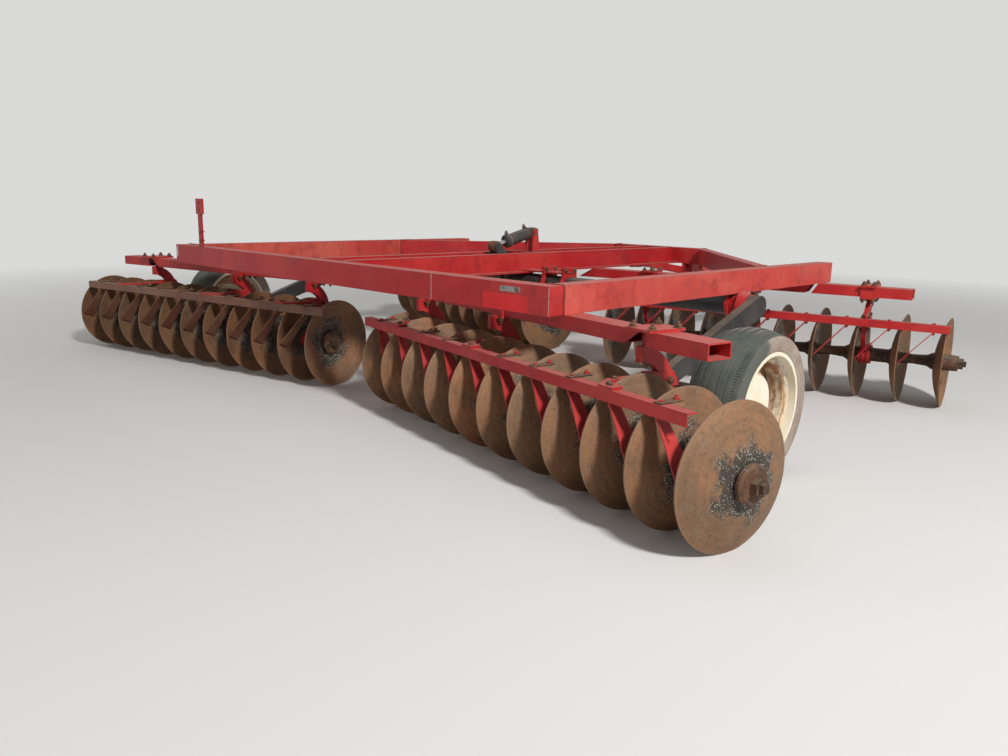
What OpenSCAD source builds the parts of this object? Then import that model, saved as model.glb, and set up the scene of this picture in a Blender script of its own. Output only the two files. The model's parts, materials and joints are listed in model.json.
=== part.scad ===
// Tandem disc harrow: four gangs of dished discs under a welded frame that is
// wide at the back and drawn in at the front, two transport wheels on a
// rockshaft, a lift cylinder, a hinged tongue and a parking jack.
// X is to the right of travel, Y is forward, Z is up. Sizes are in millimetres.

/* [Discs] */
// Diameter of a disc
disc_d = 560; // [460:10:600]
// Thickness of a disc
disc_t = 5; // [3:0.5:8]
// Depth of a disc's dish
disc_dish = 68; // [45:1:80]
// Number of discs in a rear gang
disc_count = 11; // [10:1:12]
// Number of discs in a front gang
front_disc_count = 10; // [9:1:11]
// Distance from disc to disc along an axle
disc_pitch = 250; // [230:5:290]

/* [Gangs] */
// Angle of each gang to the line across the machine
gang_angle = 11.5; // [4:0.5:16]
// Distance from the centre line to the innermost disc
gang_inner_x = 365; // [330:5:450]
// Innermost disc of a rear gang, ahead of the frame's back
rear_gang_y = 386; // [330:5:450]
// Innermost disc of a front gang, ahead of the frame's back
front_gang_y = 2480; // [2350:5:2700]
// Side of the square gang axle
axle_side = 32; // [25:1:40]
// Radius of a bearing journal
journal_r = 34; // [28:1:45]
// Distance of a scraper bar behind its axle
scraper_back = 216; // [190:2:260]
// Height of a scraper bar's top above the axle
scraper_up = 252; // [230:2:300]

/* [Frame] */
// Width of the frame
frame_w = 3660; // [3200:20:4200]
// Height of the frame's top above the ground
frame_top = 857; // [820:1:920]
// Height of a frame tube
tube_h = 130; // [110:2:150]
// Width of a frame tube
tube_w = 100; // [80:2:120]
// Wall of a frame tube
tube_wall = 6; // [4:0.5:10]
// Length of a side rail from the frame's back
side_rail_l = 2830; // [2750:10:3200]
// Length of an inner rail from the frame's back
inner_rail_l = 3560; // [3450:10:3900]
// Distance from the centre line to an inner rail's outer face
inner_rail_x = 155; // [140:1:190]
// Half-length of the front cross beam
front_beam_x = 440; // [400:5:520]
// Where a front brace leaves the side rail, from the frame's back
brace_y = 2060; // [1900:10:2200]
// Height of a gang's support beam
support_h = 64; // [50:2:80]
// Width of a gang's support beam
support_w = 124; // [100:2:150]
// Offset of a support beam from its axle, to the middle of the machine
support_off = 80; // [60:2:100]

/* [Wheels] */
// Diameter of a tyre
tyre_d = 688; // [640:4:760]
// Width of a tyre
tyre_w = 248; // [200:2:280]
// Diameter of a rim's bead seat
rim_d = 472; // [420:2:500]
// Distance from the frame's side to the middle of a wheel
wheel_out = 588; // [540:2:660]
// Wheel's centre, ahead of the frame's back
wheel_y = 700; // [660:5:780]
// Rockshaft's axis, ahead of the frame's back
rockshaft_y = 1650; // [1550:5:1750]
// Outer radius of the rockshaft
rockshaft_r = 60; // [45:1:66]

/* [Tongue] */
// Length of the tongue from its hinge to the hitch pin
tongue_l = 1980; // [1600:20:2400]
// Height of the hitch pin's plate above the ground
hitch_z = 420; // [330:5:500]
// Radius of the hitch pin's hole
hitch_r = 17; // [12:1:22]

/* [Hidden] */
$fn = 48;

disc_r = disc_d / 2;
axle_z = disc_r;
frame_bottom = frame_top - tube_h;
gang_l = disc_pitch * (disc_count - 1);
front_gang_l = disc_pitch * (front_disc_count - 1);

wheel_x = frame_w / 2 + wheel_out;
rail_w = 65;
foot_t = 10;
foot_out = 70;

// the model's origin is under the middle of its length
back_y = rear_gang_y - gang_l * sin(gang_angle) - disc_r * cos(gang_angle);
hinge_y = inner_rail_l + 60;
hitch_y = hinge_y + tongue_l;
hitch_nose = 46;
mid_y = (back_y + hitch_y + hitch_nose) / 2;

// a disc is part of a sphere, flat where the spools clamp it
dish_r = (disc_r * disc_r + disc_dish * disc_dish) / (2 * disc_dish);
flat_r = 60;
flat_top = disc_dish - dish_r + sqrt(dish_r * dish_r - flat_r * flat_r);
flat_under = flat_top - disc_t;

// bearings stand in these spaces between discs, counted from the inner end
function bearing_gaps(out) = out > 0 ? [0, 3, 7] : [1, 4, 7];
bearing_l = 70;
bearing_r = 62;
spool_bore = axle_side * 0.72;
bumper_r = 76;
seat = 0.05;
run_fit = 0.06;
play = 0.4;

paint = [0.78, 0.16, 0.15];
faded = [0.80, 0.30, 0.26];
rust = [0.55, 0.36, 0.22];
iron = [0.30, 0.27, 0.24];
black = [0.13, 0.13, 0.13];
rubber = [0.33, 0.36, 0.31];
cream = [0.87, 0.82, 0.70];
steel = [0.62, 0.60, 0.57];

// every piece is drawn with the frame's back at y = 0 and then moved by this
module machine() {
    translate([0, -mid_y, 0]) children();
}

// the same piece on the left-hand side
module left() {
    mirror([1, 0, 0]) children();
}

// a gang's own frame: X along the axle from the innermost disc outwards,
// Y square to it, Z up from the ground
module rear_gang() {
    machine() translate([gang_inner_x, rear_gang_y, 0]) rotate([0, 0, -gang_angle]) children();
}

module front_gang() {
    machine() translate([gang_inner_x, front_gang_y, 0]) rotate([0, 0, gang_angle]) children();
}

// rectangular tube along X, its cross-section centred on the axis
module tube_x(l, w, h, wall) {
    difference() {
        translate([0, -w / 2, -h / 2]) cube([l, w, h]);
        translate([-1, wall - w / 2, wall - h / 2]) cube([l + 2, w - 2 * wall, h - 2 * wall]);
    }
}

// plate of thickness t across X, its outline drawn with x as Y and y as Z
module plate_x(t) {
    translate([-t / 2, 0, 0]) rotate([90, 0, 90]) linear_extrude(t) children();
}

// Frame

module rear_cross_beam() {
    color(paint) machine() {
        translate([-frame_w / 2, tube_w / 2, frame_top - tube_h / 2])
            tube_x(frame_w, tube_w, tube_h, tube_wall);
        for (s = [-1, 1])
            translate([s * (frame_w / 2 - tube_wall / 2) - tube_wall / 2, tube_wall, frame_bottom + tube_wall])
                cube([tube_wall, tube_w - 2 * tube_wall, tube_h - 2 * tube_wall]);
    }
}

module side_rail() {
    rail_l = side_rail_l - tube_w;
    color(faded) machine() translate([frame_w / 2 - tube_w / 2, tube_w, frame_top - tube_h / 2]) {
        rotate([0, 0, 90]) tube_x(rail_l, tube_w, tube_h, tube_wall);
        translate([tube_wall - tube_w / 2, rail_l - tube_wall, tube_wall - tube_h / 2])
            cube([tube_w - 2 * tube_wall, tube_wall, tube_h - 2 * tube_wall]);
    }
}

// tube on a foot strip that sticks out on the outer side
module inner_rail() {
    rail_l = inner_rail_l - 2 * tube_w;
    color(paint) machine() translate([inner_rail_x, tube_w, 0]) {
        translate([-rail_w / 2, 0, frame_top - (tube_h - foot_t) / 2]) rotate([0, 0, 90])
            tube_x(rail_l, rail_w, tube_h - foot_t, tube_wall);
        translate([-rail_w, 0, frame_bottom]) cube([rail_w + foot_out, rail_l, foot_t]);
    }
}

// tube between the inner rails with two tall lugs for the lift cylinder
module centre_cross_beam() {
    lug_t = 16;
    half = inner_rail_x - rail_w;
    color(paint) machine() {
        translate([-half, anchor_y, frame_top - tube_h / 2])
            tube_x(2 * half, tube_w, tube_h, tube_wall);
        for (s = [-1, 1])
            translate([s * (eye_w / 2 + eye_gap + lug_t / 2), 0, 0]) plate_x(lug_t) difference() {
                hull() {
                    translate([anchor_y, anchor_z]) circle(24);
                    translate([anchor_y - 24, frame_top]) square([74, 1]);
                }
                translate([anchor_y, anchor_z]) circle(pin_r);
            }
        translate([0, anchor_y, anchor_z]) rotate([0, 90, 0])
            cylinder(r = pin_r, h = eye_w + 2 * eye_gap + 2 * lug_t + 12, center = true);
    }
}

// tube across the front ends of the inner rails, with ears for the tongue's pins
module front_cross_beam() {
    color(paint) machine() {
        translate([-front_beam_x, inner_rail_l - tube_w / 2, frame_top - tube_h / 2])
            tube_x(2 * front_beam_x, tube_w, tube_h, tube_wall);
        for (x = hinge_ears)
            for (s = [-1, 1])
                translate([s * x, 0, 0]) plate_x(ear_t) difference() {
                    union() {
                        translate([hinge_y, hinge_z]) circle(38);
                        translate([inner_rail_l - tube_w, frame_bottom - 70]) square([tube_w, 70]);
                        translate([inner_rail_l - 1, hinge_z - 38]) square([hinge_y - inner_rail_l + 1, 76]);
                    }
                    translate([hinge_y, hinge_z]) circle(hinge_pin_r + run_fit);
                }
        for (s = [-1, 1])
            translate([s * (levelling_w / 2 + 9), 0, 0]) plate_x(12) hull() {
                translate([rod_pin[0], rod_pin[1]]) circle(26);
                translate([inner_rail_l, rod_pin[1] - 50]) square([1, 86]);
            }
        translate([0, rod_pin[0], rod_pin[1]]) rotate([0, 90, 0])
            cylinder(r = levelling_pin_r, h = levelling_w + 52, center = true);
    }
}

// bar of a brace's run, w wide, its bottom at z = 0
module brace_bar(w, h) {
    from = [frame_w / 2 - tube_w, brace_y];
    to = [front_beam_x, inner_rail_l - tube_w * 0.75];
    run = from - to;
    translate([to[0], to[1], 0]) rotate([0, 0, atan2(run[1], run[0])])
        translate([-300, -w / 2, 0]) cube([norm(run) + 600, w, h]);
}

// brace from a side rail in to the end of the front cross beam
module front_brace() {
    w = tube_w * 0.8;
    color(paint) machine() translate([0, 0, frame_bottom]) intersection() {
        difference() {
            brace_bar(w, tube_h);
            translate([0, 0, tube_wall]) brace_bar(w - 2 * tube_wall, tube_h - 2 * tube_wall);
        }
        translate([front_beam_x, 0, -1]) cube([frame_w / 2 - tube_w - front_beam_x, 5000, tube_h + 2]);
    }
}

// Rockshaft and its bearings

rockshaft_z = frame_bottom - 67;
bearing_plate = 18;
rail_bearing_x = frame_w / 2 - tube_w / 2;
lug_bearing_x = 366;
lug_apart = 175;

module bearing_plate_at(x, up) {
    ring_r = rockshaft_r + 26;
    translate([x, rockshaft_y, 0]) plate_x(bearing_plate) difference() {
        intersection() {
            union() {
                translate([0, rockshaft_z]) circle(ring_r);
                translate([-70, rockshaft_z]) square([140, frame_bottom + up - rockshaft_z]);
            }
            translate([-ring_r, rockshaft_z - ring_r]) square([2 * ring_r, frame_bottom + up - rockshaft_z + ring_r]);
        }
        translate([0, rockshaft_z]) circle(rockshaft_r + run_fit);
    }
}

module rockshaft_bearings() {
    color(paint) machine() for (side = [-1, 1]) {
        bearing_plate_at(side * rail_bearing_x, 0);
        // collar that flares out beyond the side rail
        mirror([side < 0 ? 1 : 0, 0, 0])
            translate([rail_bearing_x + bearing_plate / 2 - 1, rockshaft_y, rockshaft_z]) rotate([0, 90, 0])
                rotate_extrude() polygon([
                    [rockshaft_r + run_fit, 0], [rockshaft_r + 6, 0], [rockshaft_r + 6, 46],
                    [rockshaft_r + 24, 50], [rockshaft_r + 6, 100], [rockshaft_r + run_fit, 100]
                ]);
        // a pair of tall plates, hung from a shelf on the inner rail's foot strip
        for (x = [lug_bearing_x, lug_bearing_x + lug_apart])
            bearing_plate_at(side * x, 55);
        mirror([side < 0 ? 1 : 0, 0, 0]) translate([inner_rail_x, rockshaft_y - 60, frame_bottom + foot_t])
            cube([lug_bearing_x + lug_apart - inner_rail_x, 120, 10]);
    }
}

wheel_z = tyre_d / 2;
arm_x = frame_w / 2 + 100;
arm_t = 50;
lever_t = 14;
pin_r = 16;
eye_w = 44;
eye_gap = 3;
eye_play = 3.5;
lever_pin = [rockshaft_y - 180, rockshaft_z + 245];
anchor_y = rockshaft_y + 200;
anchor_z = rockshaft_z + 340;

module rockshaft() {
    wall = 10;
    half = arm_x - arm_t / 2;
    color(black) machine() {
        translate([0, rockshaft_y, rockshaft_z]) rotate([0, 90, 0]) difference() {
            cylinder(r = rockshaft_r, h = 2 * half, center = true);
            cylinder(r = rockshaft_r - wall, h = 2 * half + 2, center = true);
        }
        for (s = [-1, 1])
            translate([s * (eye_w / 2 + eye_gap + lever_t / 2), 0, 0]) plate_x(lever_t) difference() {
                hull() {
                    translate(lever_pin) circle(28);
                    translate([rockshaft_y, rockshaft_z]) circle(rockshaft_r + 14);
                }
                translate([rockshaft_y, rockshaft_z]) circle(rockshaft_r);
                translate(lever_pin) circle(pin_r);
            }
        translate([0, lever_pin[0], lever_pin[1]]) rotate([0, 90, 0])
            cylinder(r = pin_r, h = eye_w + 2 * eye_gap + 2 * lever_t + 10, center = true);
    }
}

spindle_r = 22;

module wheel_arm() {
    reach = [rockshaft_y - wheel_y, rockshaft_z - wheel_z];
    spindle_l = wheel_x + 26 - arm_x - arm_t / 2;
    color(black) machine() {
        translate([arm_x, 0, 0]) plate_x(arm_t) hull() {
            translate([rockshaft_y, rockshaft_z]) circle(rockshaft_r + 2);
            translate([wheel_y, wheel_z]) circle(46);
        }
        translate([arm_x + arm_t / 2, wheel_y, wheel_z]) rotate([0, 90, 0])
            cylinder(r = spindle_r, h = spindle_l);
        translate([arm_x + arm_t / 2, wheel_y, wheel_z]) rotate([0, 90, 0])
            cylinder(r = 40, h = wheel_x - 70 - arm_x - arm_t / 2);
    }
}

// Wheels

rim_r = rim_d / 2;
rim_w = tyre_w - 26;
plate_r = 134;
plate_out = 37;
flange_h = 14;

module wheel_place() {
    machine() translate([wheel_x, wheel_y, wheel_z]) rotate([0, 90, 0]) children();
}

// outline of a tyre between the rim's flanges: crown and both side walls are arcs;
// in is the wall
module tyre_outline(in) {
    crown_r = tyre_w * 1.15;
    bead_w = rim_w / 2 - play;
    mid_r = (rim_r + tyre_d / 2) / 2;
    bulge = tyre_w / 2 - bead_w;
    side_r = (pow(mid_r - rim_r, 2) + bulge * bulge) / (2 * bulge);
    intersection() {
        translate([tyre_d / 2 - crown_r, 0]) circle(crown_r - in, $fn = 96);
        translate([mid_r, side_r - tyre_w / 2]) circle(side_r - in * 0.7, $fn = 96);
        translate([mid_r, tyre_w / 2 - side_r]) circle(side_r - in * 0.7, $fn = 96);
        translate([rim_r + play - in, -tyre_w]) square([tyre_d, 2 * tyre_w]);
    }
}

module tyre_section() {
    difference() {
        tyre_outline(0);
        tyre_outline(18);
        for (s = [-1, 1])
            translate([rim_r - 20, s * rim_w / 2 + (s < 0 ? -40 : 0) - s * play])
                square([flange_h + 20 + play, 40]);
    }
}

module tyre() {
    color(rubber) wheel_place() rotate_extrude($fn = 96) tyre_section();
}

module rim() {
    flange = rim_r + flange_h;
    color(cream) wheel_place() {
        rotate_extrude($fn = 96) polygon([
            [rim_r - 4, -rim_w / 2 - 6], [flange, -rim_w / 2 - 6], [flange, -rim_w / 2 - 1],
            [rim_r, -rim_w / 2 - 1], [rim_r, -rim_w / 2 + 30], [rim_r - 26, -rim_w / 2 + 44],
            [rim_r - 26, rim_w / 2 - 44], [rim_r, rim_w / 2 - 30], [rim_r, rim_w / 2 + 1],
            [flange, rim_w / 2 + 1], [flange, rim_w / 2 + 6], [rim_r - 4, rim_w / 2 + 6],
            [rim_r - 4, rim_w / 2 - 32], [rim_r - 31, rim_w / 2 - 46],
            [rim_r - 31, -rim_w / 2 + 46], [rim_r - 4, -rim_w / 2 + 32]
        ]);
        // dished centre with a flat plate in its middle, and the hub behind it
        difference() {
            union() {
                rotate_extrude($fn = 96) polygon([
                    [rim_r - 30.5, -24], [rim_r - 30.5, -14], [plate_r + 36, -8], [plate_r, plate_out],
                    [0, plate_out], [0, plate_out - 7], [plate_r - 6, plate_out - 7], [plate_r + 30, -17]
                ]);
                translate([0, 0, -60]) cylinder(r = 46, h = 60 + plate_out - 3);
            }
            translate([0, 0, -61]) cylinder(r = spindle_r + run_fit, h = 88);
        }
    }
}

// Lift cylinder

barrel_r = 42;
barrel_wall = 8;
barrel_l = 282;
rod_r = 18;
cyl_len = norm([anchor_y - lever_pin[0], anchor_z - lever_pin[1]]);
cyl_tilt = atan2(lever_pin[1] - anchor_z, anchor_y - lever_pin[0]);

// the cylinder's own frame: X back from the anchor pin along the bore
module cylinder_place() {
    machine() translate([0, anchor_y, anchor_z]) rotate([-cyl_tilt, 0, 0]) rotate([0, 0, -90]) children();
}

module cylinder_barrel() {
    color(black) cylinder_place() {
        difference() {
            union() {
                rotate([90, 0, 0]) cylinder(r = 30, h = eye_w, center = true);
                translate([0, -eye_w / 2, -22]) cube([46, eye_w, 44]);
            }
            rotate([90, 0, 0]) cylinder(r = pin_r + run_fit, h = eye_w + 2, center = true);
        }
        // base cap, tube and gland
        rotate([0, 90, 0]) difference() {
            rotate_extrude() polygon([
                [0, 42], [34, 42], [barrel_r + 3, 50], [barrel_r + 3, 66], [barrel_r, 68],
                [barrel_r, barrel_l - 34], [barrel_r + 5, barrel_l - 32], [barrel_r + 5, barrel_l - 8],
                [barrel_r - 4, barrel_l], [0, barrel_l]
            ]);
            translate([0, 0, 64]) cylinder(r = barrel_r - barrel_wall, h = barrel_l - 64 - 34);
            translate([0, 0, 64]) cylinder(r = rod_r + run_fit, h = barrel_l);
        }
        // ports on top, one at each end
        for (x = [74, barrel_l - 24])
            translate([x, 0, barrel_r - 8]) cylinder(r = 13, h = 22);
    }
}

module cylinder_rod() {
    piston_x = 118;
    eye_r = pin_r + eye_play + 15;
    color(steel) cylinder_place() {
        translate([piston_x, 0, 0]) rotate([0, 90, 0]) cylinder(r = barrel_r - barrel_wall - 0.5, h = 30);
        translate([piston_x, 0, 0]) rotate([0, 90, 0])
            cylinder(r = rod_r, h = cyl_len - piston_x - pin_r - eye_play - 4);
        difference() {
            translate([cyl_len, 0, 0]) rotate([90, 0, 0]) cylinder(r = eye_r, h = eye_w, center = true);
            translate([cyl_len, 0, 0]) rotate([90, 0, 0])
                cylinder(r = pin_r + eye_play, h = eye_w + 2, center = true);
        }
    }
}

// Gangs

// one disc: rim plane at x = 0, hollow side to -X
module disc() {
    rotate([0, 90, 0]) difference() {
        union() {
            difference() {
                intersection() {
                    translate([0, 0, disc_dish - dish_r]) sphere(r = dish_r, $fn = 96);
                    translate([0, 0, -2 * disc_t]) cylinder(r = disc_r, h = flat_top + 2 * disc_t, $fn = 96);
                }
                translate([0, 0, disc_dish - dish_r]) sphere(r = dish_r - disc_t, $fn = 96);
            }
            translate([0, 0, flat_under]) cylinder(r = flat_r, h = disc_t);
        }
        translate([-axle_side / 2 - play, -axle_side / 2 - play, 0])
            cube([axle_side + 2 * play, axle_side + 2 * play, 2 * disc_dish]);
    }
}

// turns a piece round where the hollow sides face out
module facing(out) {
    if (out > 0) children();
    else mirror([1, 0, 0]) children();
}

// all discs of a gang; out is 1 where the hollow sides face in, -1 where they face out
module gang_discs(out, count) {
    color(rust) for (k = [0 : count - 1])
        translate([k * disc_pitch, 0, axle_z]) facing(out) disc();
}

// a cast spool along X, flared at both ends
module spool(l) {
    rotate([0, 90, 0]) rotate_extrude() polygon([
        [spool_bore, 0], [52, 0], [52, 12], [36, 40], [30, l / 2], [36, l - 40], [52, l - 12],
        [52, l], [spool_bore, l]
    ]);
}

// a spool with a round journal for the bearing that stands at x = at
module journal_spool(l, at) {
    a = at - bearing_l / 2 - 6;
    b = at + bearing_l / 2 + 6;
    rotate([0, 90, 0]) rotate_extrude() polygon([
        [spool_bore, 0], [52, 0], [52, 10], [44, 18], [44, a], [journal_r, a],
        [journal_r, b], [44, b], [44, l - 18], [52, l - 10], [52, l], [spool_bore, l]
    ]);
}

// cast bumper washer with its nut, clamped on the flat of an end disc
module bumper(reach) {
    rotate([0, 90, 0]) {
        rotate_extrude() polygon([
            [spool_bore, 0], [56, 0], [bumper_r, 12], [bumper_r, 26], [bumper_r - 12, 34],
            [54, 34], [48, reach], [spool_bore, reach]
        ]);
        translate([0, 0, reach]) difference() {
            cylinder(r = 34, h = 28, $fn = 6);
            translate([-axle_side / 2, -axle_side / 2, -1]) cube([axle_side, axle_side, 30]);
        }
    }
}

// offset between a space's bearing and the hollow disc beside it
bearing_off = 30;

function bearing_x(k, out) = out > 0 ? (k + 1) * disc_pitch - bearing_off : k * disc_pitch + bearing_off;

module gang_axle(out, count) {
    end_x = disc_pitch * (count - 1);
    clamp = out > 0 ? flat_top : -flat_under;
    l = disc_pitch - disc_t - 2 * seat;
    outer_reach = out > 0 ? 36 : 130;
    color(iron) translate([0, 0, axle_z]) {
        translate([clamp - disc_t - 80, -axle_side / 2, -axle_side / 2])
            cube([end_x + disc_t + 124 + outer_reach, axle_side, axle_side]);
        for (k = [0 : count - 2])
            translate([k * disc_pitch + clamp + seat, 0, 0])
                if (len([for (g = bearing_gaps(out)) if (g == k) g]) > 0)
                    journal_spool(l, bearing_x(k, out) - k * disc_pitch - clamp - seat);
                else
                    spool(l);
        translate([clamp - disc_t - seat, 0, 0]) mirror([1, 0, 0]) bumper(36);
        translate([end_x + clamp + seat, 0, 0]) bumper(outer_reach);
    }
}

// Support beams, hangers and scrapers

// one length of support beam, hollow; a slant moves the end's top edge along X
module beam_piece(from_x, to_x, from_slant, to_slant) {
    wall = 6;
    difference() {
        rotate([90, 0, 0]) linear_extrude(support_w, center = true) polygon([
            [from_x, 0], [to_x, 0], [to_x + to_slant, support_h], [from_x + from_slant, support_h]
        ]);
        translate([from_x - 500, wall - support_w / 2, wall])
            cube([to_x - from_x + 1000, support_w - 2 * wall, support_h - 2 * wall]);
    }
}

// a support beam in two lengths; side is 1 where the beam lies ahead of its axle
module support_beam(side, inner, outer) {
    color(paint) translate([0, side * support_off, frame_bottom - support_h])
        for (s = [inner, outer])
            beam_piece(s[0], s[1], s[2], s[3]);
}

// room that a length of beam takes up, with its outer end moved out by grow
module beam_side(run, grow) {
    over = 10;
    end_x = run[1] + run[3] * (support_h + over) / support_h;
    rotate([90, 0, 0]) linear_extrude(support_w + 2, center = true) polygon([
        [run[0], 0], [run[1] + grow, 0], [end_x + grow, support_h + over], [run[0], support_h + over]
    ]);
}

// lengths of support beam: from, to, slant at from, slant at to
rear_inner_beam = [-230, 1887, 0, 92];
rear_outer_beam = [2010, 2330, 0, 0];
front_inner_beam = [-290, 1390, 110, 40];
front_outer_beam = [1430, 2030, 40, 0];

hanger_t = 28;
hanger_w = 64;
hanger_r = 188;

// C-shaped hanger from the support beam round to the bearing on the axle; the outer
// one of a rear gang is set well forward, the others stay nearer the axle
module hanger(side, forward) {
    cz = frame_bottom - support_h - hanger_r;
    cy = forward ? 24 : side > 0 ? -36 : -18;
    nose = forward ? 238 : side > 0 ? 150 : 160;
    mirror([0, side > 0 ? 0 : 1, 0]) difference() {
        union() {
            plate_x(hanger_t) difference() {
                translate([cy, cz]) circle(hanger_r);
                translate([cy, cz]) circle(hanger_r - hanger_w);
                translate([cy - 400, cz - 400]) square([400, 800]);
            }
            plate_x(hanger_t) translate([min(cy - 1, 20), frame_bottom - support_h - hanger_w])
                square([max(cy + 1, 72) - min(cy - 1, 20), hanger_w]);
            plate_x(hanger_t) polygon([
                [0, axle_z - 55], [cy + 1, cz - hanger_r], [cy + 1, cz - hanger_r + hanger_w], [0, axle_z + 61]
            ]);
            // thick part that the scraper bar's arm is bolted to, split near its lower end
            plate_x(36) polygon([
                [cy + 34, 505], [nose - 40, 488], [nose, 488], [nose - 32, 552], [cy + 32, 556]
            ]);
            plate_x(36) polygon([
                [cy + 120, 474], [nose + 2, 474], [nose - 4, 440], [cy + 120, 440]
            ]);
            translate([0, 0, axle_z]) rotate([0, 90, 0]) cylinder(r = bearing_r, h = bearing_l, center = true);
        }
        translate([0, 0, axle_z]) rotate([0, 90, 0])
            cylinder(r = journal_r + run_fit, h = bearing_l + 2, center = true);
    }
}

// clamp plate over the support beam
module clamp_plate(side, from_x, w, l) {
    translate([from_x, side * support_off - l / 2, frame_bottom]) cube([w, l, 12]);
}

// arm from a hanger back to the scraper bar, lying on the bar's flange: a flat
// strip that runs outwards on a rear gang, an upright plate on a front gang
module scraper_arm(side) {
    arm_z = axle_z + scraper_up;
    back = -scraper_back + 2;
    if (side > 0)
        translate([0, 0, arm_z]) linear_extrude(12) polygon([
            [41, back], [120, back], [120, -162], [17, -138], [17, 66], [-22, 66], [-22, -120]
        ]);
    else
        translate([hanger_t / 2 + 2, 0, 0]) plate_x(12) polygon([
            [back, arm_z], [-100, arm_z], [-100, arm_z + 60], [back + 38, arm_z + 34], [back, arm_z + 20]
        ]);
}

// the frame's own members near a gang, drawn in the gang's frame with play round them
module members(side) {
    turn = side > 0 ? gang_angle : -gang_angle;
    gang_y = side > 0 ? rear_gang_y : front_gang_y;
    rotate([0, 0, turn]) translate([-gang_inner_x, -gang_y, frame_bottom]) {
        translate([-frame_w / 2, -1, 0]) cube([frame_w, tube_w + 6, tube_h]);
        translate([frame_w / 2 - tube_w - 5, 0, 0]) cube([tube_w + 10, side_rail_l + 5, tube_h]);
        translate([0, 0, 0]) cube([inner_rail_x + foot_out + 5, inner_rail_l, tube_h]);
        brace_bar(tube_w * 0.8 + 10, tube_h);
    }
}

// true at the gap where a rear gang's beam is in two lengths
function joins(side, k) = side > 0 && k == 7;

module hangers(side, out) {
    color(paint) for (k = bearing_gaps(out))
        translate([bearing_x(k, out), 0, 0]) {
            hanger(side, joins(side, k));
            // the outer plate of a rear gang also joins the beam's two lengths
            difference() {
                clamp_plate(side, -45, joins(side, k) ? 140 : 90, 190);
                translate([-bearing_x(k, out), 0, 0]) members(side);
            }
            // a neck between the beam's lengths, or straps round the beam
            if (joins(side, k))
                difference() {
                    plate_x(hanger_t) translate([50, frame_bottom - support_h - 20])
                        square([52, support_h + 20]);
                    translate([-bearing_x(k, out), side * support_off, frame_bottom - support_h])
                        beam_side(rear_inner_beam, play);
                }
            else {
                for (y = [-1, 1])
                    translate([-45, side * support_off + y * (support_w / 2 + 7) - 7, frame_bottom - support_h - 12])
                        cube([90, 14, support_h + 12]);
                translate([-45, side * support_off - support_w / 2 - 14, frame_bottom - support_h - 12])
                    cube([90, support_w + 28, 12]);
            }
            scraper_arm(side);
        }
}

// angle-iron bar with a blade for each disc
scraper_leg = 48;
scraper_flange = 50;
blade_lean = 40.2;
blade_l = 316;

module scrapers(out) {
    bar_z = axle_z + scraper_up;
    from_x = out > 0 ? -100 : 40;
    to_x = out > 0 ? gang_l - 30 : front_gang_l + 20;
    first = out > 0 ? 1 : 0;
    last = out > 0 ? disc_count - 1 : front_disc_count - 2;
    color(paint) {
        translate([from_x, -scraper_back, bar_z - scraper_leg]) cube([to_x - from_x, 6, scraper_leg]);
        translate([from_x, -scraper_back, bar_z - 6]) cube([to_x - from_x, scraper_flange, 6]);
        for (k = [first : last])
            translate([k * disc_pitch, 0, axle_z]) facing(out) scraper();
    }
}

// one scraper in its disc's frame: a short arm in the bar's corner and a blade that
// leans down into the hollow side
module scraper() {
    root_x = -178;
    corner = -scraper_back + 6;
    top_z = scraper_up - 6;
    translate([root_x - 4, corner, top_z - 60]) cube([8, 47, 60]);
    translate([root_x, 0, scraper_up - scraper_leg]) rotate([0, -blade_lean, 0]) plate_x(5) polygon([
        [corner + 1, 8], [corner + 47, 8], [corner + 45, -blade_l], [corner - 51, 54 - blade_l]
    ]);
}

// Tongue

hinge_z = frame_bottom - 36;
hinge_pin_r = 19;
ear_t = 18;
tongue_x = front_beam_x - 128;
hinge_ears = [tongue_x - 40, tongue_x + 40];

head_y = hitch_y - 440;
bridge_l = 390;
rod_pin = [inner_rail_l + 50, frame_bottom + 66];
levelling_w = 40;
levelling_r = 14;
levelling_pin_r = 13;
swivel_y = hinge_y + 720;
swivel_z = tongue_z(swivel_y) + 66;

// height of the tongue's side bars at y
function tongue_z(y) = hinge_z + (hitch_z + 35 - hinge_z) * (y - hinge_y) / (hitch_y - 420 - hinge_y);

// side bar of the tongue: seen from above it runs in towards the hitch, from the side it falls
module tongue_bar(side, grow) {
    y0 = hinge_y + 52;
    y1 = head_y - seat;
    intersection() {
        translate([0, 0, hitch_z - 200]) linear_extrude(hinge_z) polygon([
            [side * (tongue_x - 26 - grow), y0],
            [side * (tongue_x + 26 + grow), y0],
            [side * (76 + grow), y1],
            [side * (16 - grow), y1]
        ]);
        plate_x(4 * tongue_x) polygon([
            [y0, hinge_z - 32 - grow],
            [y1, hitch_z - 5 - grow],
            [y1, hitch_z + 75 + grow],
            [y0, hinge_z + 28 + grow]
        ]);
    }
}

module tongue_side(side) {
    tongue_bar(side, 0);
    translate([side * tongue_x, 0, 0]) plate_x(52) hull() {
        translate([hinge_y, hinge_z]) circle(32);
        translate([hinge_y + 52, hinge_z - 32]) square([10, 60]);
    }
    translate([side * tongue_x, hinge_y, hinge_z]) rotate([0, 90, 0])
        cylinder(r = hinge_pin_r, h = 124, center = true);
}

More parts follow.
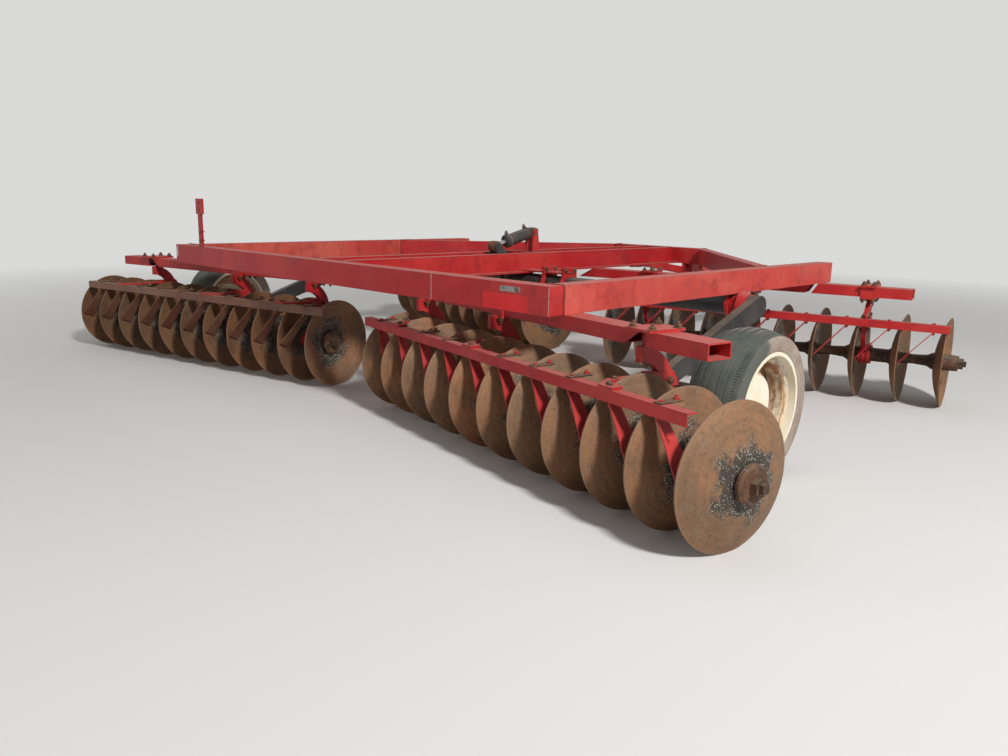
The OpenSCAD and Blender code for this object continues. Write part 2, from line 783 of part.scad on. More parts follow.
// tube between the side bars with the block that the levelling rod slides in
module tongue_bridge() {
    z = tongue_z(swivel_y);
    tilt = atan2(swivel_z - rod_pin[1], swivel_y - rod_pin[0]);
    difference() {
        union() {
            translate([-bridge_l / 2, swivel_y - 40, z - 30]) cube([bridge_l, 80, 56]);
            translate([-30, swivel_y - 34, z]) cube([60, 68, 46]);
            translate([0, swivel_y, swivel_z]) rotate([tilt, 0, 0]) cube([56, 40, 64], center = true);
        }
        for (s = [-1, 1]) tongue_bar(s, seat);
        translate([0, swivel_y, swivel_z]) rotate([tilt - 90, 0, 0])
            cylinder(r = levelling_r + 3, h = 200, center = true);
    }
}

module tongue() {
    color(paint) machine() {
        for (s = [-1, 1]) tongue_side(s);
        tongue_bridge();
        difference() {
            union() {
                translate([-80, head_y, hitch_z - 5]) cube([160, hitch_y - 110 - head_y, 80]);
                jack_pin();
                translate([-50, hitch_y - 120, hitch_z]) cube([100, 120, 24]);
                translate([0, hitch_y, hitch_z]) cylinder(r = hitch_nose, h = 24);
            }
            translate([0, hitch_y, hitch_z - 1]) cylinder(r = hitch_r, h = 26);
        }
    }
}

// screwed rod, pinned to the front cross beam, that sets the tongue's height
module levelling_rod() {
    tilt = atan2(swivel_z - rod_pin[1], swivel_y - rod_pin[0]);
    run = norm([swivel_y - rod_pin[0], swivel_z - rod_pin[1]]);
    color(iron) machine() translate([0, rod_pin[0], rod_pin[1]]) difference() {
        rotate([tilt - 90, 0, 0]) {
            translate([0, 0, 16]) cylinder(r = levelling_r, h = run + 150);
            for (z = [run - 90, run + 66])
                translate([0, 0, z]) cylinder(r = 24, h = 24, $fn = 6);
            rotate([0, 90, 0]) cylinder(r = 27, h = levelling_w, center = true);
        }
        rotate([0, 90, 0]) cylinder(r = levelling_pin_r + run_fit, h = levelling_w + 2, center = true);
    }
}

// Parking jack

jack_x = 175;
jack_y = hitch_y - 330;
jack_z = hitch_z + 35;
jack_r = 32;
jack_bore = 26;
jack_low = 215;
jack_high = 596;
leg_high = 358;
swivel_r = 24;

// stub on the tongue's left side that the jack swings on
module jack_pin() {
    translate([-80, jack_y, jack_z]) rotate([0, -90, 0]) cylinder(r = swivel_r, h = 50);
}

module jack_tube() {
    hub_x = 85;
    color(faded) machine() left() translate([0, jack_y, 0]) {
        difference() {
            translate([jack_x, 0, jack_low]) cylinder(r = jack_r, h = jack_high - jack_low);
            translate([jack_x, 0, jack_low - 1]) cylinder(r = jack_bore, h = jack_high - jack_low - 29);
        }
        // hub on the tongue's stub
        difference() {
            translate([hub_x, 0, jack_z]) rotate([0, 90, 0]) cylinder(r = 40, h = jack_x - hub_x - jack_r + 14);
            translate([hub_x - 1, 0, jack_z]) rotate([0, 90, 0]) cylinder(r = swivel_r + run_fit, h = 50);
            translate([jack_x, 0, jack_low]) cylinder(r = jack_r - 1, h = jack_high - jack_low);
        }
        // crank shaft out of the tube's side with its arm and grip
        translate([jack_x + jack_r - 4, 0, jack_high - 40]) rotate([0, 90, 0]) cylinder(r = 9, h = 46);
        translate([jack_x + jack_r + 30, -12, jack_high - 170]) cube([10, 24, 142]);
        translate([jack_x + jack_r + 34, 0, jack_high - 160]) rotate([0, 90, 0]) cylinder(r = 11, h = 80);
    }
}

module jack_leg() {
    color(steel) machine() translate([-jack_x, jack_y, 0]) {
        cylinder(r = 70, h = 8);
        translate([0, 0, 8]) cylinder(r = jack_bore - run_fit, h = leg_high - 8);
    }
}

module light_bracket() {
    color(paint) machine() {
        translate([-1495, 20, frame_top]) cube([50, 12, 240]);
        translate([-1515, 18, frame_top + 225]) cube([90, 16, 105]);
    }
}

rear_cross_beam();
side_rail();  // right_side_rail
left() side_rail();  // left_side_rail
inner_rail();  // right_inner_rail
left() inner_rail();  // left_inner_rail
centre_cross_beam();
front_cross_beam();
front_brace();  // right_front_brace
left() front_brace();  // left_front_brace
rockshaft_bearings();
light_bracket();
rear_gang() support_beam(1, rear_inner_beam, rear_outer_beam);  // rear_right_support_beam
left() rear_gang() support_beam(1, rear_inner_beam, rear_outer_beam);  // rear_left_support_beam
front_gang() support_beam(-1, front_inner_beam, front_outer_beam);  // front_right_support_beam
left() front_gang() support_beam(-1, front_inner_beam, front_outer_beam);  // front_left_support_beam
rear_gang() hangers(1, 1);  // rear_right_hangers
left() rear_gang() hangers(1, 1);  // rear_left_hangers
front_gang() hangers(-1, -1);  // front_right_hangers
left() front_gang() hangers(-1, -1);  // front_left_hangers
rear_gang() scrapers(1);  // rear_right_scrapers
left() rear_gang() scrapers(1);  // rear_left_scrapers
front_gang() scrapers(-1);  // front_right_scrapers
left() front_gang() scrapers(-1);  // front_left_scrapers
rear_gang() gang_discs(1, disc_count);  // rear_right_discs
left() rear_gang() gang_discs(1, disc_count);  // rear_left_discs
front_gang() gang_discs(-1, front_disc_count);  // front_right_discs
left() front_gang() gang_discs(-1, front_disc_count);  // front_left_discs
rear_gang() gang_axle(1, disc_count);  // rear_right_axle
left() rear_gang() gang_axle(1, disc_count);  // rear_left_axle
front_gang() gang_axle(-1, front_disc_count);  // front_right_axle
left() front_gang() gang_axle(-1, front_disc_count);  // front_left_axle
rockshaft();
wheel_arm();  // right_wheel_arm
left() wheel_arm();  // left_wheel_arm
rim();  // right_rim
left() rim();  // left_rim
tyre();  // right_tyre
left() tyre();  // left_tyre
cylinder_barrel();
cylinder_rod();
tongue();
levelling_rod();
jack_tube();
jack_leg();
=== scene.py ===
import json
import math
import random

import bmesh
import bpy
from mathutils import Matrix, Vector
from mathutils.bvhtree import BVHTree


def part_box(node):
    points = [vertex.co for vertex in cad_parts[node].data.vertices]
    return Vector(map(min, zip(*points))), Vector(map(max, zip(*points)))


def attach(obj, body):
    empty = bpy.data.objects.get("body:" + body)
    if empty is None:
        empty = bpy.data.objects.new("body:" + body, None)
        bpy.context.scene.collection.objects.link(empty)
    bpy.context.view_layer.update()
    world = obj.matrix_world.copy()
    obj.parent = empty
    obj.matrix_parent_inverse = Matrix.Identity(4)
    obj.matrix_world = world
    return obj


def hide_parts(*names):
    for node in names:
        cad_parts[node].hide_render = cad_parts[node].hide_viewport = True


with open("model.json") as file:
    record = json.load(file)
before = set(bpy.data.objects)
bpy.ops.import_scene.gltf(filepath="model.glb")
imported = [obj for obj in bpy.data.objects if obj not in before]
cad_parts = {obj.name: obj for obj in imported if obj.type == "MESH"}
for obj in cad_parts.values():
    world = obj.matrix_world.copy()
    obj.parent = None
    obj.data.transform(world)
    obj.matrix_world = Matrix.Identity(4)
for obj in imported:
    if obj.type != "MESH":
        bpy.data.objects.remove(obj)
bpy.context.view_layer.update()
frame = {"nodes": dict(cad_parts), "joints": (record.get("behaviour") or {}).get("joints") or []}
joints = {j["name"]: j for j in frame["joints"]}
mm = 0.001


# Camera, floor and light

cameraLook = {
    "place": (4.1695, -5.2635, 1.2076),  # metres, a person's chest height behind the right wheel
    "yaw": 44.61,     # degrees to the left of straight ahead
    "pitch": 12.07,   # degrees down
    "roll": 1.19,
    "lens": 29.4,
}


def addCamera(look):
    yaw, pitch, roll = (math.radians(look[k]) for k in ("yaw", "pitch", "roll"))
    ahead = Vector((-math.sin(yaw) * math.cos(pitch), math.cos(yaw) * math.cos(pitch), -math.sin(pitch)))
    level = Vector((math.cos(yaw), math.sin(yaw), 0))
    upright = level.cross(ahead)
    right = level * math.cos(roll) + upright * math.sin(roll)
    up = upright * math.cos(roll) - level * math.sin(roll)
    data = bpy.data.cameras.new("photoCamera")
    data.lens = look["lens"]
    data.sensor_width = 36
    data.clip_end = 200
    camera = bpy.data.objects.new("photoCamera", data)
    turn = Matrix((right, up, -ahead)).transposed()
    camera.matrix_world = Matrix.Translation(look["place"]) @ turn.to_4x4()
    bpy.context.scene.collection.objects.link(camera)
    bpy.context.scene.camera = camera


addCamera(cameraLook)
bpy.context.scene.view_settings.view_transform = "Standard"

studio = {
    "floorColour": (0.70, 0.69, 0.67),
    "floorRadius": 16,
    "wallHeight": 26,
    "paleColour": (0.70, 0.70, 0.69),
    "paleFrom": 4.0,       # metres from the middle of the floor
    "paleTo": 11.0,
    "skyStrength": 0.30,
    "keyPower": 1500,
    "keySize": 1.6,
    "keyPlace": (10.5, -5.0, 8.0),    # to the right and behind, where the sun stood
    "fillPower": 110,
    "fillSize": 7,
    "fillPlace": (-7.5, -7.0, 5.0),
    "topPower": 50,
    "topSize": 8,
    "topPlace": (0, 0.5, 9),
    "aim": (0, 0, 0.4),
    "skyColour": (0.95, 0.97, 1.0),
    "curl": 4,             # radius of the curl from floor to wall
}


def put(tree, kind, inputs=None, **settings):
    node = tree.nodes.new("ShaderNode" + kind)
    for key, value in settings.items():
        setattr(node, key, value)
    for key, value in (inputs or {}).items():
        if isinstance(value, bpy.types.NodeSocket):
            tree.links.new(value, node.inputs[key])
        else:
            node.inputs[key].default_value = value
    return node


def sums(tree, how, a, b=0.0):
    return put(tree, "Math", {0: a, 1: b}, operation=how).outputs[0]


def times(tree, a, b):
    return sums(tree, "MULTIPLY", a, b)


def plus(tree, a, b):
    return sums(tree, "ADD", a, b)


def most(tree, a, b):
    return sums(tree, "MAXIMUM", a, b)


def vectors(tree, how, a, b=(0, 0, 0)):
    number = how in ("LENGTH", "DISTANCE", "DOT_PRODUCT")
    return put(tree, "VectorMath", {0: a, 1: b}, operation=how).outputs["Value" if number else "Vector"]


def vector(tree, x=0.0, y=0.0, z=0.0):
    return put(tree, "CombineXYZ", {0: x, 1: y, 2: z}).outputs[0]


def addFloor(look):
    # a round sheet that curls up into a wall a long way out
    radius, curl, sides = look["floorRadius"], look["curl"], 96
    rings = [(radius * 0.7, 0), (radius, 0)]
    for i in range(1, 13):
        a = math.radians(90 * i / 12)
        rings.append((radius + curl * math.sin(a), curl - curl * math.cos(a)))
    rings.append((radius + curl, look["wallHeight"]))
    sheet = bmesh.new()
    loops = []
    for r, height in rings:
        turns = [i * math.tau / sides for i in range(sides)]
        loops.append([sheet.verts.new((r * math.cos(a), r * math.sin(a), height)) for a in turns])
    sheet.faces.new(loops[0])
    for low, high in zip(loops, loops[1:]):
        for i in range(sides):
            j = (i + 1) % sides
            sheet.faces.new((high[i], high[j], low[j], low[i]))
    mesh = bpy.data.meshes.new("studioFloor")
    sheet.to_mesh(mesh)
    sheet.free()
    mesh.polygons.foreach_set("use_smooth", [True] * len(mesh.polygons))
    floor = bpy.data.objects.new("studioFloor", mesh)
    bpy.context.scene.collection.objects.link(floor)
    paper = bpy.data.materials.new("floorPaper")
    paper.use_nodes = True
    tree = paper.node_tree
    shader = tree.nodes["Principled BSDF"]
    shader.inputs["Base Color"].default_value = (*look["floorColour"], 1)
    shader.inputs["Roughness"].default_value = 0.9
    shader.inputs["Specular IOR Level"].default_value = 0.1
    # far out the paper shows an even pale tone to the camera and in reflections, and throws no extra light
    where = put(tree, "TexCoord").outputs["Object"]
    away = vectors(tree, "LENGTH", where)
    reach = {"Value": away, "From Min": look["paleFrom"], "From Max": look["paleTo"]}
    far = put(tree, "MapRange", reach).outputs["Result"]
    rays = put(tree, "LightPath").outputs
    seen = most(tree, rays["Is Camera Ray"], rays["Is Glossy Ray"])
    seen = most(tree, seen, rays["Is Transmission Ray"])
    glow = put(tree, "Emission", {"Color": (*look["paleColour"], 1), "Strength": 1.0})
    both = put(tree, "MixShader", {0: times(tree, far, seen), 1: shader.outputs[0], 2: glow.outputs[0]})
    tree.links.new(both.outputs[0], tree.nodes["Material Output"].inputs["Surface"])
    mesh.materials.append(paper)


def addLamp(name, place, power, size):
    data = bpy.data.lights.new(name, "AREA")
    data.shape = "DISK"
    data.size = size
    data.energy = power
    lamp = bpy.data.objects.new(name, data)
    lamp.location = place
    lamp.rotation_euler = (Vector(studio["aim"]) - Vector(place)).to_track_quat("-Z", "Y").to_euler()
    bpy.context.scene.collection.objects.link(lamp)


def addSky(look):
    sky = bpy.data.worlds.new("studioSky")
    sky.use_nodes = True
    background = sky.node_tree.nodes["Background"].inputs
    background["Color"].default_value = (*look["skyColour"], 1)
    background["Strength"].default_value = look["skyStrength"]
    bpy.context.scene.world = sky


addFloor(studio)
addLamp("keyLamp", studio["keyPlace"], studio["keyPower"], studio["keySize"])
addLamp("fillLamp", studio["fillPlace"], studio["fillPower"], studio["fillSize"])
addLamp("topLamp", studio["topPlace"], studio["topPower"], studio["topSize"])
addSky(studio)
print("camera, floor and lamps placed")


# Finishes

def mixColour(tree, amount, under, over):
    node = put(tree, "Mix", data_type="RGBA")
    for index, value in ((0, amount), (6, under), (7, over)):
        if isinstance(value, bpy.types.NodeSocket):
            tree.links.new(value, node.inputs[index])
        else:
            node.inputs[index].default_value = (*value, 1)
    return node.outputs[2]


def between(tree, value, low, high, to=(0, 1)):
    inputs = {"Value": value, "From Min": low, "From Max": high, "To Min": to[0], "To Max": to[1]}
    return put(tree, "MapRange", inputs, interpolation_type="SMOOTHSTEP").outputs["Result"]


def noise(tree, where, scale, detail=5.0, rough=0.6):
    inputs = {"Vector": where, "Scale": scale, "Detail": detail, "Roughness": rough}
    return put(tree, "TexNoise", inputs).outputs["Fac"]


def cells(tree, where, scale, feature="F1"):
    inputs = {"Vector": where, "Scale": scale}
    return put(tree, "TexVoronoi", inputs, feature=feature).outputs["Distance"]


def stretched(tree, where, scale):
    return put(tree, "Mapping", {"Vector": where, "Scale": scale}).outputs["Vector"]


def newFinish(name):
    finish = bpy.data.materials.new(name)
    finish.use_nodes = True
    tree = finish.node_tree
    shader = tree.nodes["Principled BSDF"]
    shader.inputs["Specular IOR Level"].default_value = 0.35
    coords = put(tree, "TexCoord").outputs
    return finish, tree, shader, coords


def join(tree, shader, colour, rough, height, depth, metal=0.0):
    tree.links.new(colour, shader.inputs["Base Color"])
    tree.links.new(rough, shader.inputs["Roughness"])
    bump = put(tree, "Bump", {"Height": height, "Distance": depth, "Strength": 1.0})
    tree.links.new(bump.outputs["Normal"], shader.inputs["Normal"])
    if isinstance(metal, bpy.types.NodeSocket):
        tree.links.new(metal, shader.inputs["Metallic"])
    else:
        shader.inputs["Metallic"].default_value = metal


def upward(tree, coords, low=0.55, high=0.95):
    parts = put(tree, "SeparateXYZ", {0: coords["Normal"]}).outputs
    return between(tree, parts["Z"], low, high)


def wornEdges(tree, radius):
    # where the rounded normal leaves the true one, an edge is near
    rounded = put(tree, "Bevel", {"Radius": radius}, samples=4)
    true = put(tree, "NewGeometry")
    dot = vectors(tree, "DOT_PRODUCT", rounded.outputs[0], true.outputs["Normal"])
    return between(tree, dot, 0.985, 0.80)


def weatheredPaint(name, look):
    finish, tree, shader, coords = newFinish(name)
    where = coords["Object"]
    fade = between(tree, noise(tree, where, 1.7, 3), 0.38, 0.66)
    colour = mixColour(tree, fade, look["paint"], look["faded"])
    blotch = between(tree, noise(tree, where, 9, 6, 0.7), 0.46, 0.75)
    colour = mixColour(tree, times(tree, blotch, 0.60), colour, look["dark"])
    runs = noise(tree, stretched(tree, where, (26, 26, 2.2)), 1, 4)
    colour = mixColour(tree, between(tree, runs, 0.55, 0.82, (0, 0.35)), colour, look["dark"])
    # dust lies on what faces up, thin and patchy
    top = upward(tree, coords)
    patch = between(tree, noise(tree, where, 5, 8, 0.68), 0.30, 0.62, (0.35, 1))
    dust = times(tree, times(tree, top, patch), look["dusty"])
    film = times(tree, between(tree, noise(tree, where, 3.1, 5), 0.42, 0.75), look["film"])
    dust = most(tree, dust, film)
    colour = mixColour(tree, dust, colour, look["dust"])
    # chips along the edges and a few rust spots on the faces
    grit = noise(tree, where, 60, 6, 0.75)
    edge = times(tree, wornEdges(tree, look["edge"]), between(tree, grit, 0.40, 0.62))
    spots = between(tree, noise(tree, where, 24, 8, 0.8), look["spots"], look["spots"] + 0.05)
    rust = most(tree, times(tree, edge, look["chips"]), spots)
    rustColour = mixColour(tree, grit, look["rust"], look["rustDark"])
    colour = mixColour(tree, rust, colour, rustColour)
    rough = between(tree, most(tree, rust, dust), 0, 1, (look["gloss"], 0.88))
    height = plus(tree, times(tree, grit, 0.35), times(tree, rust, -0.6))
    join(tree, shader, colour, rough, height, 0.0012)
    return finish


redLook = {
    "paint": (0.41, 0.010, 0.014),
    "faded": (0.50, 0.030, 0.028),
    "dark": (0.20, 0.008, 0.010),
    "dust": (0.40, 0.19, 0.155),
    "rust": (0.20, 0.075, 0.030),
    "rustDark": (0.07, 0.028, 0.015),
    "dusty": 0.62,
    "film": 0.08,
    "edge": 0.007,
    "chips": 0.95,
    "spots": 0.655,
    "gloss": 0.42,
}
redPaint = weatheredPaint("redPaint", redLook)
# painted light: a lighter, more orange copy of the red paint, the look of faces the sun falls on, with a
# little more dust film
litDustyRedPaint = weatheredPaint("litDustyRedPaint", dict(
    redLook, paint=(0.52, 0.050, 0.040), faded=(0.60, 0.100, 0.070), film=0.20, dusty=0.70, gloss=0.5))
freshRed = weatheredPaint("freshRed", dict(
    redLook, paint=(0.66, 0.012, 0.018), faded=(0.69, 0.025, 0.026), dark=(0.50, 0.010, 0.014),
    film=0.05, chips=0.2, spots=0.8))
brownRed = weatheredPaint("brownRed", dict(
    redLook, paint=(0.150, 0.050, 0.032), faded=(0.205, 0.095, 0.055), dark=(0.075, 0.035, 0.025),
    dust=(0.26, 0.18, 0.11), film=0.35, spots=0.60))
# pale paint for a seam on the rear beam, and for a painted highlight along the beam's rounded corner
paleSeamAndHighlight = weatheredPaint("paleSeamAndHighlight", dict(
    redLook, paint=(0.62, 0.30, 0.27), faded=(0.68, 0.42, 0.38), dark=(0.45, 0.12, 0.11), spots=0.62))
paleReflector = weatheredPaint("paleReflector", dict(
    redLook, paint=(0.62, 0.50, 0.46), faded=(0.70, 0.60, 0.56), dark=(0.45, 0.25, 0.22),
    dust=(0.5, 0.42, 0.36), gloss=0.25))


def scraperPaint(gang):
    return brownRed if "left" in gang else redPaint


blackLook = {
    "paint": (0.018, 0.018, 0.019),
    "faded": (0.045, 0.045, 0.046),
    "dark": (0.010, 0.010, 0.010),
    "dust": (0.22, 0.18, 0.14),
    "rust": (0.14, 0.060, 0.030),
    "rustDark": (0.05, 0.025, 0.015),
    "dusty": 0.6,
    "film": 0.25,
    "edge": 0.006,
    "chips": 0.6,
    "spots": 0.66,
    "gloss": 0.5,
}
blackPaint = weatheredPaint("blackPaint", blackLook)


def along(joint):
    # the turn that takes X onto a joint's axis, seen from above
    axis = Vector(joint["axis"])
    return math.atan2(axis.y, axis.x)


def axleView(tree, where, joint):
    # points as seen from a joint, with X along its axle: whole, in parts, and square to the axle
    centred = vectors(tree, "SUBTRACT", where, tuple(joint["pos_m"]))
    turn = {"Vector": centred, "Angle": -along(joint), "Axis": (0, 0, 1)}
    own = put(tree, "VectorRotate", turn).outputs[0]
    parts = put(tree, "SeparateXYZ", {0: own}).outputs
    flat = vector(tree, 0.0, parts["Y"], parts["Z"])
    return own, parts, flat


def discSteel(name, joint, look):
    finish, tree, shader, coords = newFinish(name)
    own, parts, flat = axleView(tree, coords["Object"], joint)
    radius = vectors(tree, "LENGTH", flat)
    # one disc's number, so that no two look the same
    number = sums(tree, "FLOOR", plus(tree, sums(tree, "DIVIDE", parts["X"], look["pitch"]), 0.4))
    odd = put(tree, "TexWhiteNoise", {"W": number}, noise_dimensions="1D").outputs["Value"]
    shifted = vectors(tree, "ADD", own, vector(tree, times(tree, odd, 40)))
    broad = noise(tree, shifted, 5.5, 7, 0.62)
    fine = noise(tree, shifted, 75, 8, 0.8)
    colour = mixColour(tree, between(tree, broad, 0.34, 0.64), look["rust"], look["orange"])
    moss = between(tree, noise(tree, shifted, 13, 8, 0.7), 0.48, 0.70, (0, 0.75))
    colour = mixColour(tree, moss, colour, look["olive"])
    colour = mixColour(tree, times(tree, odd, 0.55), colour, look["olive"])
    # scrapers leave faint rings
    swirl = plus(tree, times(tree, radius, 190), times(tree, broad, 9))
    rings = between(tree, sums(tree, "SINE", swirl), -0.2, 1.0, (0, 0.16))
    colour = mixColour(tree, rings, colour, look["dark"])
    colour = mixColour(tree, between(tree, fine, 0.50, 0.68, (0, 0.70)), colour, look["dark"])
    speck = noise(tree, shifted, 34, 9, 0.85)
    colour = mixColour(tree, between(tree, speck, 0.56, 0.70, (0, 0.55)), colour, look["bright"])
    # dried mud and pale lichen round the middle
    reach = look["mudReach"]
    uneven = sums(tree, "SUBTRACT", noise(tree, shifted, 11, 8, 0.78), 0.5)
    ragged = plus(tree, radius, times(tree, uneven, 0.34))
    middle = between(tree, ragged, reach + 0.028, reach - 0.025)
    colour = mixColour(tree, times(tree, middle, 0.9), colour, look["mud"])
    pale = times(tree, between(tree, cells(tree, shifted, 130.0), 0.46, 0.26),
                 between(tree, noise(tree, shifted, 30, 5, 0.7), 0.42, 0.54))
    pale = times(tree, pale, between(tree, ragged, reach + 0.04, reach - 0.01))
    colour = mixColour(tree, pale, colour, look["lichen"])
    rim = between(tree, radius, look["radius"] - 0.007, look["radius"] - 0.003, (0, 0.7))
    colour = mixColour(tree, rim, colour, look["edge"])
    rough = between(tree, fine, 0.3, 0.8, (0.50, 0.85))
    crust = plus(tree, times(tree, middle, 0.8), times(tree, pale, 0.8))
    height = plus(tree, times(tree, fine, 0.6), crust)
    join(tree, shader, colour, rough, height, 0.0018, metal=0.15)
    return finish


discLook = {
    "pitch": 0.250,
    "radius": 0.280,
    "rust": (0.170, 0.082, 0.044),
    "orange": (0.330, 0.145, 0.064),
    "bright": (0.460, 0.290, 0.180),
    "olive": (0.175, 0.125, 0.072),
    "dark": (0.080, 0.044, 0.028),
    "mud": (0.035, 0.033, 0.030),
    "lichen": (0.40, 0.39, 0.33),
    "edge": (0.26, 0.15, 0.09),
    "mudReach": 0.136,
}


def rustyIron(name, look):
    finish, tree, shader, coords = newFinish(name)
    where = coords["Object"]
    broad = noise(tree, where, 14, 7, 0.7)
    fine = noise(tree, where, 95, 8, 0.8)
    colour = mixColour(tree, between(tree, broad, 0.36, 0.66), look["dark"], look["rust"])
    colour = mixColour(tree, between(tree, fine, 0.5, 0.72, (0, 0.7)), colour, look["orange"])
    pale = times(tree, between(tree, cells(tree, where, 90.0), 0.34, 0.20),
                 between(tree, noise(tree, where, 24, 5, 0.7), 0.52, 0.62))
    colour = mixColour(tree, times(tree, pale, look["pale"]), colour, look["lichen"])
    colour = mixColour(tree, times(tree, upward(tree, coords, 0.3, 0.9), 0.4), colour, look["dust"])
    rough = between(tree, fine, 0.3, 0.8, (0.55, 0.9))
    height = plus(tree, fine, times(tree, broad, 1.5))
    join(tree, shader, colour, rough, height, 0.0022, metal=0.2)
    return finish


ironLook = {
    "dark": (0.040, 0.030, 0.024),
    "rust": (0.135, 0.062, 0.032),
    "orange": (0.235, 0.105, 0.045),
    "lichen": (0.40, 0.38, 0.32),
    "dust": (0.26, 0.19, 0.13),
    "pale": 0.8,
}
castIron = rustyIron("rustyCastIron", ironLook)
boltIron = rustyIron("boltIron", dict(
    ironLook, rust=(0.20, 0.085, 0.040), orange=(0.33, 0.15, 0.07), pale=0.2))
weldIron = rustyIron("weldIron", dict(
    ironLook, dark=(0.16, 0.018, 0.017), rust=(0.30, 0.030, 0.027), orange=(0.24, 0.07, 0.04), pale=0.1))


def creamRim(name, joint, look):
    finish, tree, shader, coords = newFinish(name)
    centred, parts, flat = axleView(tree, coords["Object"], joint)
    radius = vectors(tree, "LENGTH", flat)
    broad = noise(tree, centred, 9, 7, 0.7)
    fine = noise(tree, centred, 70, 8, 0.8)
    colour = mixColour(tree, between(tree, broad, 0.4, 0.7), look["cream"], look["chalk"])
    # rust stands in the well, between the plate and the flange, and runs round it in bands
    inWell = times(tree, between(tree, radius, look["plate"] - 0.004, look["plate"] + 0.010),
                   between(tree, radius, look["flange"] + 0.002, look["flange"] - 0.014))
    spoke = stretched(tree, vectors(tree, "NORMALIZE", flat), (1.5, 1.5, 1.5))
    bands = plus(tree, times(tree, radius, 55), times(tree, parts["X"], 14))
    streak = noise(tree, vectors(tree, "ADD", spoke, vector(tree, bands)), 1.3, 7, 0.7)
    stain = times(tree, inWell, between(tree, streak, 0.36, 0.56, (0.10, 1)))
    burnt = between(tree, noise(tree, centred, 26, 7, 0.75), 0.38, 0.64)
    stainColour = mixColour(tree, burnt, look["stain"], look["stainDark"])
    colour = mixColour(tree, times(tree, stain, 0.92), colour, stainColour)
    grime = between(tree, noise(tree, centred, 4.5, 8, 0.72), 0.50, 0.74, (0, 0.35))
    colour = mixColour(tree, grime, colour, look["grime"])
    spots = between(tree, noise(tree, centred, 34, 8, 0.8), 0.62, 0.70)
    edge = times(tree, wornEdges(tree, 0.004), between(tree, fine, 0.45, 0.65, (0, 0.8)))
    rust = most(tree, spots, edge)
    colour = mixColour(tree, rust, colour, look["rust"])
    eaten = most(tree, rust, stain)
    rough = between(tree, eaten, 0, 1, (0.50, 0.85))
    height = plus(tree, times(tree, fine, 0.4), times(tree, eaten, 0.5))
    join(tree, shader, colour, rough, height, 0.0012)
    return finish


rimLook = {
    "plate": 0.134,
    "flange": 0.232,
    "cream": (0.78, 0.70, 0.52),
    "chalk": (0.84, 0.81, 0.72),
    "stain": (0.42, 0.19, 0.07),
    "stainDark": (0.15, 0.070, 0.035),
    "grime": (0.40, 0.33, 0.22),
    "rust": (0.20, 0.085, 0.035),
}


def tyreRubber(name, joint, look):
    finish, tree, shader, coords = newFinish(name)
    centred, parts, flat = axleView(tree, coords["Object"], joint)
    radius = vectors(tree, "LENGTH", flat)
    normal = put(tree, "SeparateXYZ", {0: coords["Normal"]}).outputs
    side = between(tree, sums(tree, "ABSOLUTE", normal["X"]), 0.45, 0.85)
    cloud = noise(tree, centred, 7, 7, 0.65)
    fine = noise(tree, centred, 120, 7, 0.8)
    colour = mixColour(tree, between(tree, cloud, 0.35, 0.7), look["tread"], look["treadPale"])
    wall = mixColour(tree, between(tree, cloud, 0.36, 0.66), look["wallDust"], look["wallPale"])
    # painted shade: on one side of the wall, where shade falls, the wall takes the tread's dark colour
    uneven = sums(tree, "SUBTRACT", cloud, 0.5)
    dark = plus(tree, parts["Y"], times(tree, uneven, 0.10))
    dark = between(tree, dark, look["paintedShadeTo"] + 0.02, look["paintedShadeTo"] - 0.02)
    wall = mixColour(tree, dark, wall, look["treadPale"])
    colour = mixColour(tree, times(tree, side, 0.85), colour, wall)
    # scuffs run round the wall
    angle = sums(tree, "ARCTAN2", parts["Y"], parts["Z"])
    spiral = vector(tree, times(tree, radius, 70), times(tree, angle, 1.4))
    scuff = between(tree, noise(tree, spiral, 2.0, 6, 0.7), 0.52, 0.74, (0, 0.55))
    colour = mixColour(tree, times(tree, side, scuff), colour, look["scuff"])
    # fine cracks in old rubber
    crack = cells(tree, centred, 130.0, feature="DISTANCE_TO_EDGE")
    cracks = between(tree, crack, 0.05, 0.0, (0, 0.5))
    colour = mixColour(tree, cracks, colour, look["crack"])
    colour = mixColour(tree, between(tree, fine, 0.5, 0.75, (0, 0.35)), colour, look["crack"])
    rough = between(tree, fine, 0.3, 0.7, (0.72, 0.92))
    height = sums(tree, "SUBTRACT", times(tree, fine, 0.6), cracks)
    join(tree, shader, colour, rough, height, 0.0008)
    shader.inputs["Specular IOR Level"].default_value = 0.3
    return finish


rubberLook = {
    # where the painted shade on the wall ends
    "paintedShadeTo": -0.075,      # metres ahead of the wheel's centre
    "tread": (0.070, 0.078, 0.068),
    "treadPale": (0.120, 0.126, 0.108),
    "wallDust": (0.360, 0.270, 0.215),
    "wallPale": (0.480, 0.385, 0.315),
    "scuff": (0.210, 0.160, 0.130),
    "crack": (0.040, 0.040, 0.034),
}


def plainSteel(name, look):
    finish, tree, shader, coords = newFinish(name)
    where = coords["Object"]
    fine = noise(tree, stretched(tree, where, (60, 60, 60)), 1, 6, 0.7)
    rust = between(tree, noise(tree, where, 12, 8, 0.75), look["rustFrom"], look["rustFrom"] + 0.12)
    if "rustyAt" in look:
        apart = vectors(tree, "DISTANCE", where, look["rustyAt"])
        rust = most(tree, rust, between(tree, apart, look["rustyWithin"] + 0.01, look["rustyWithin"]))
    colour = mixColour(tree, fine, look["steel"], look["steelDark"])
    colour = mixColour(tree, rust, colour, look["rust"])
    rough = between(tree, rust, 0, 1, (look["gloss"], 0.8))
    metal = between(tree, rust, 0, 1, (0.95, 0.1))
    join(tree, shader, colour, rough, times(tree, rust, fine), 0.001, metal)
    return finish


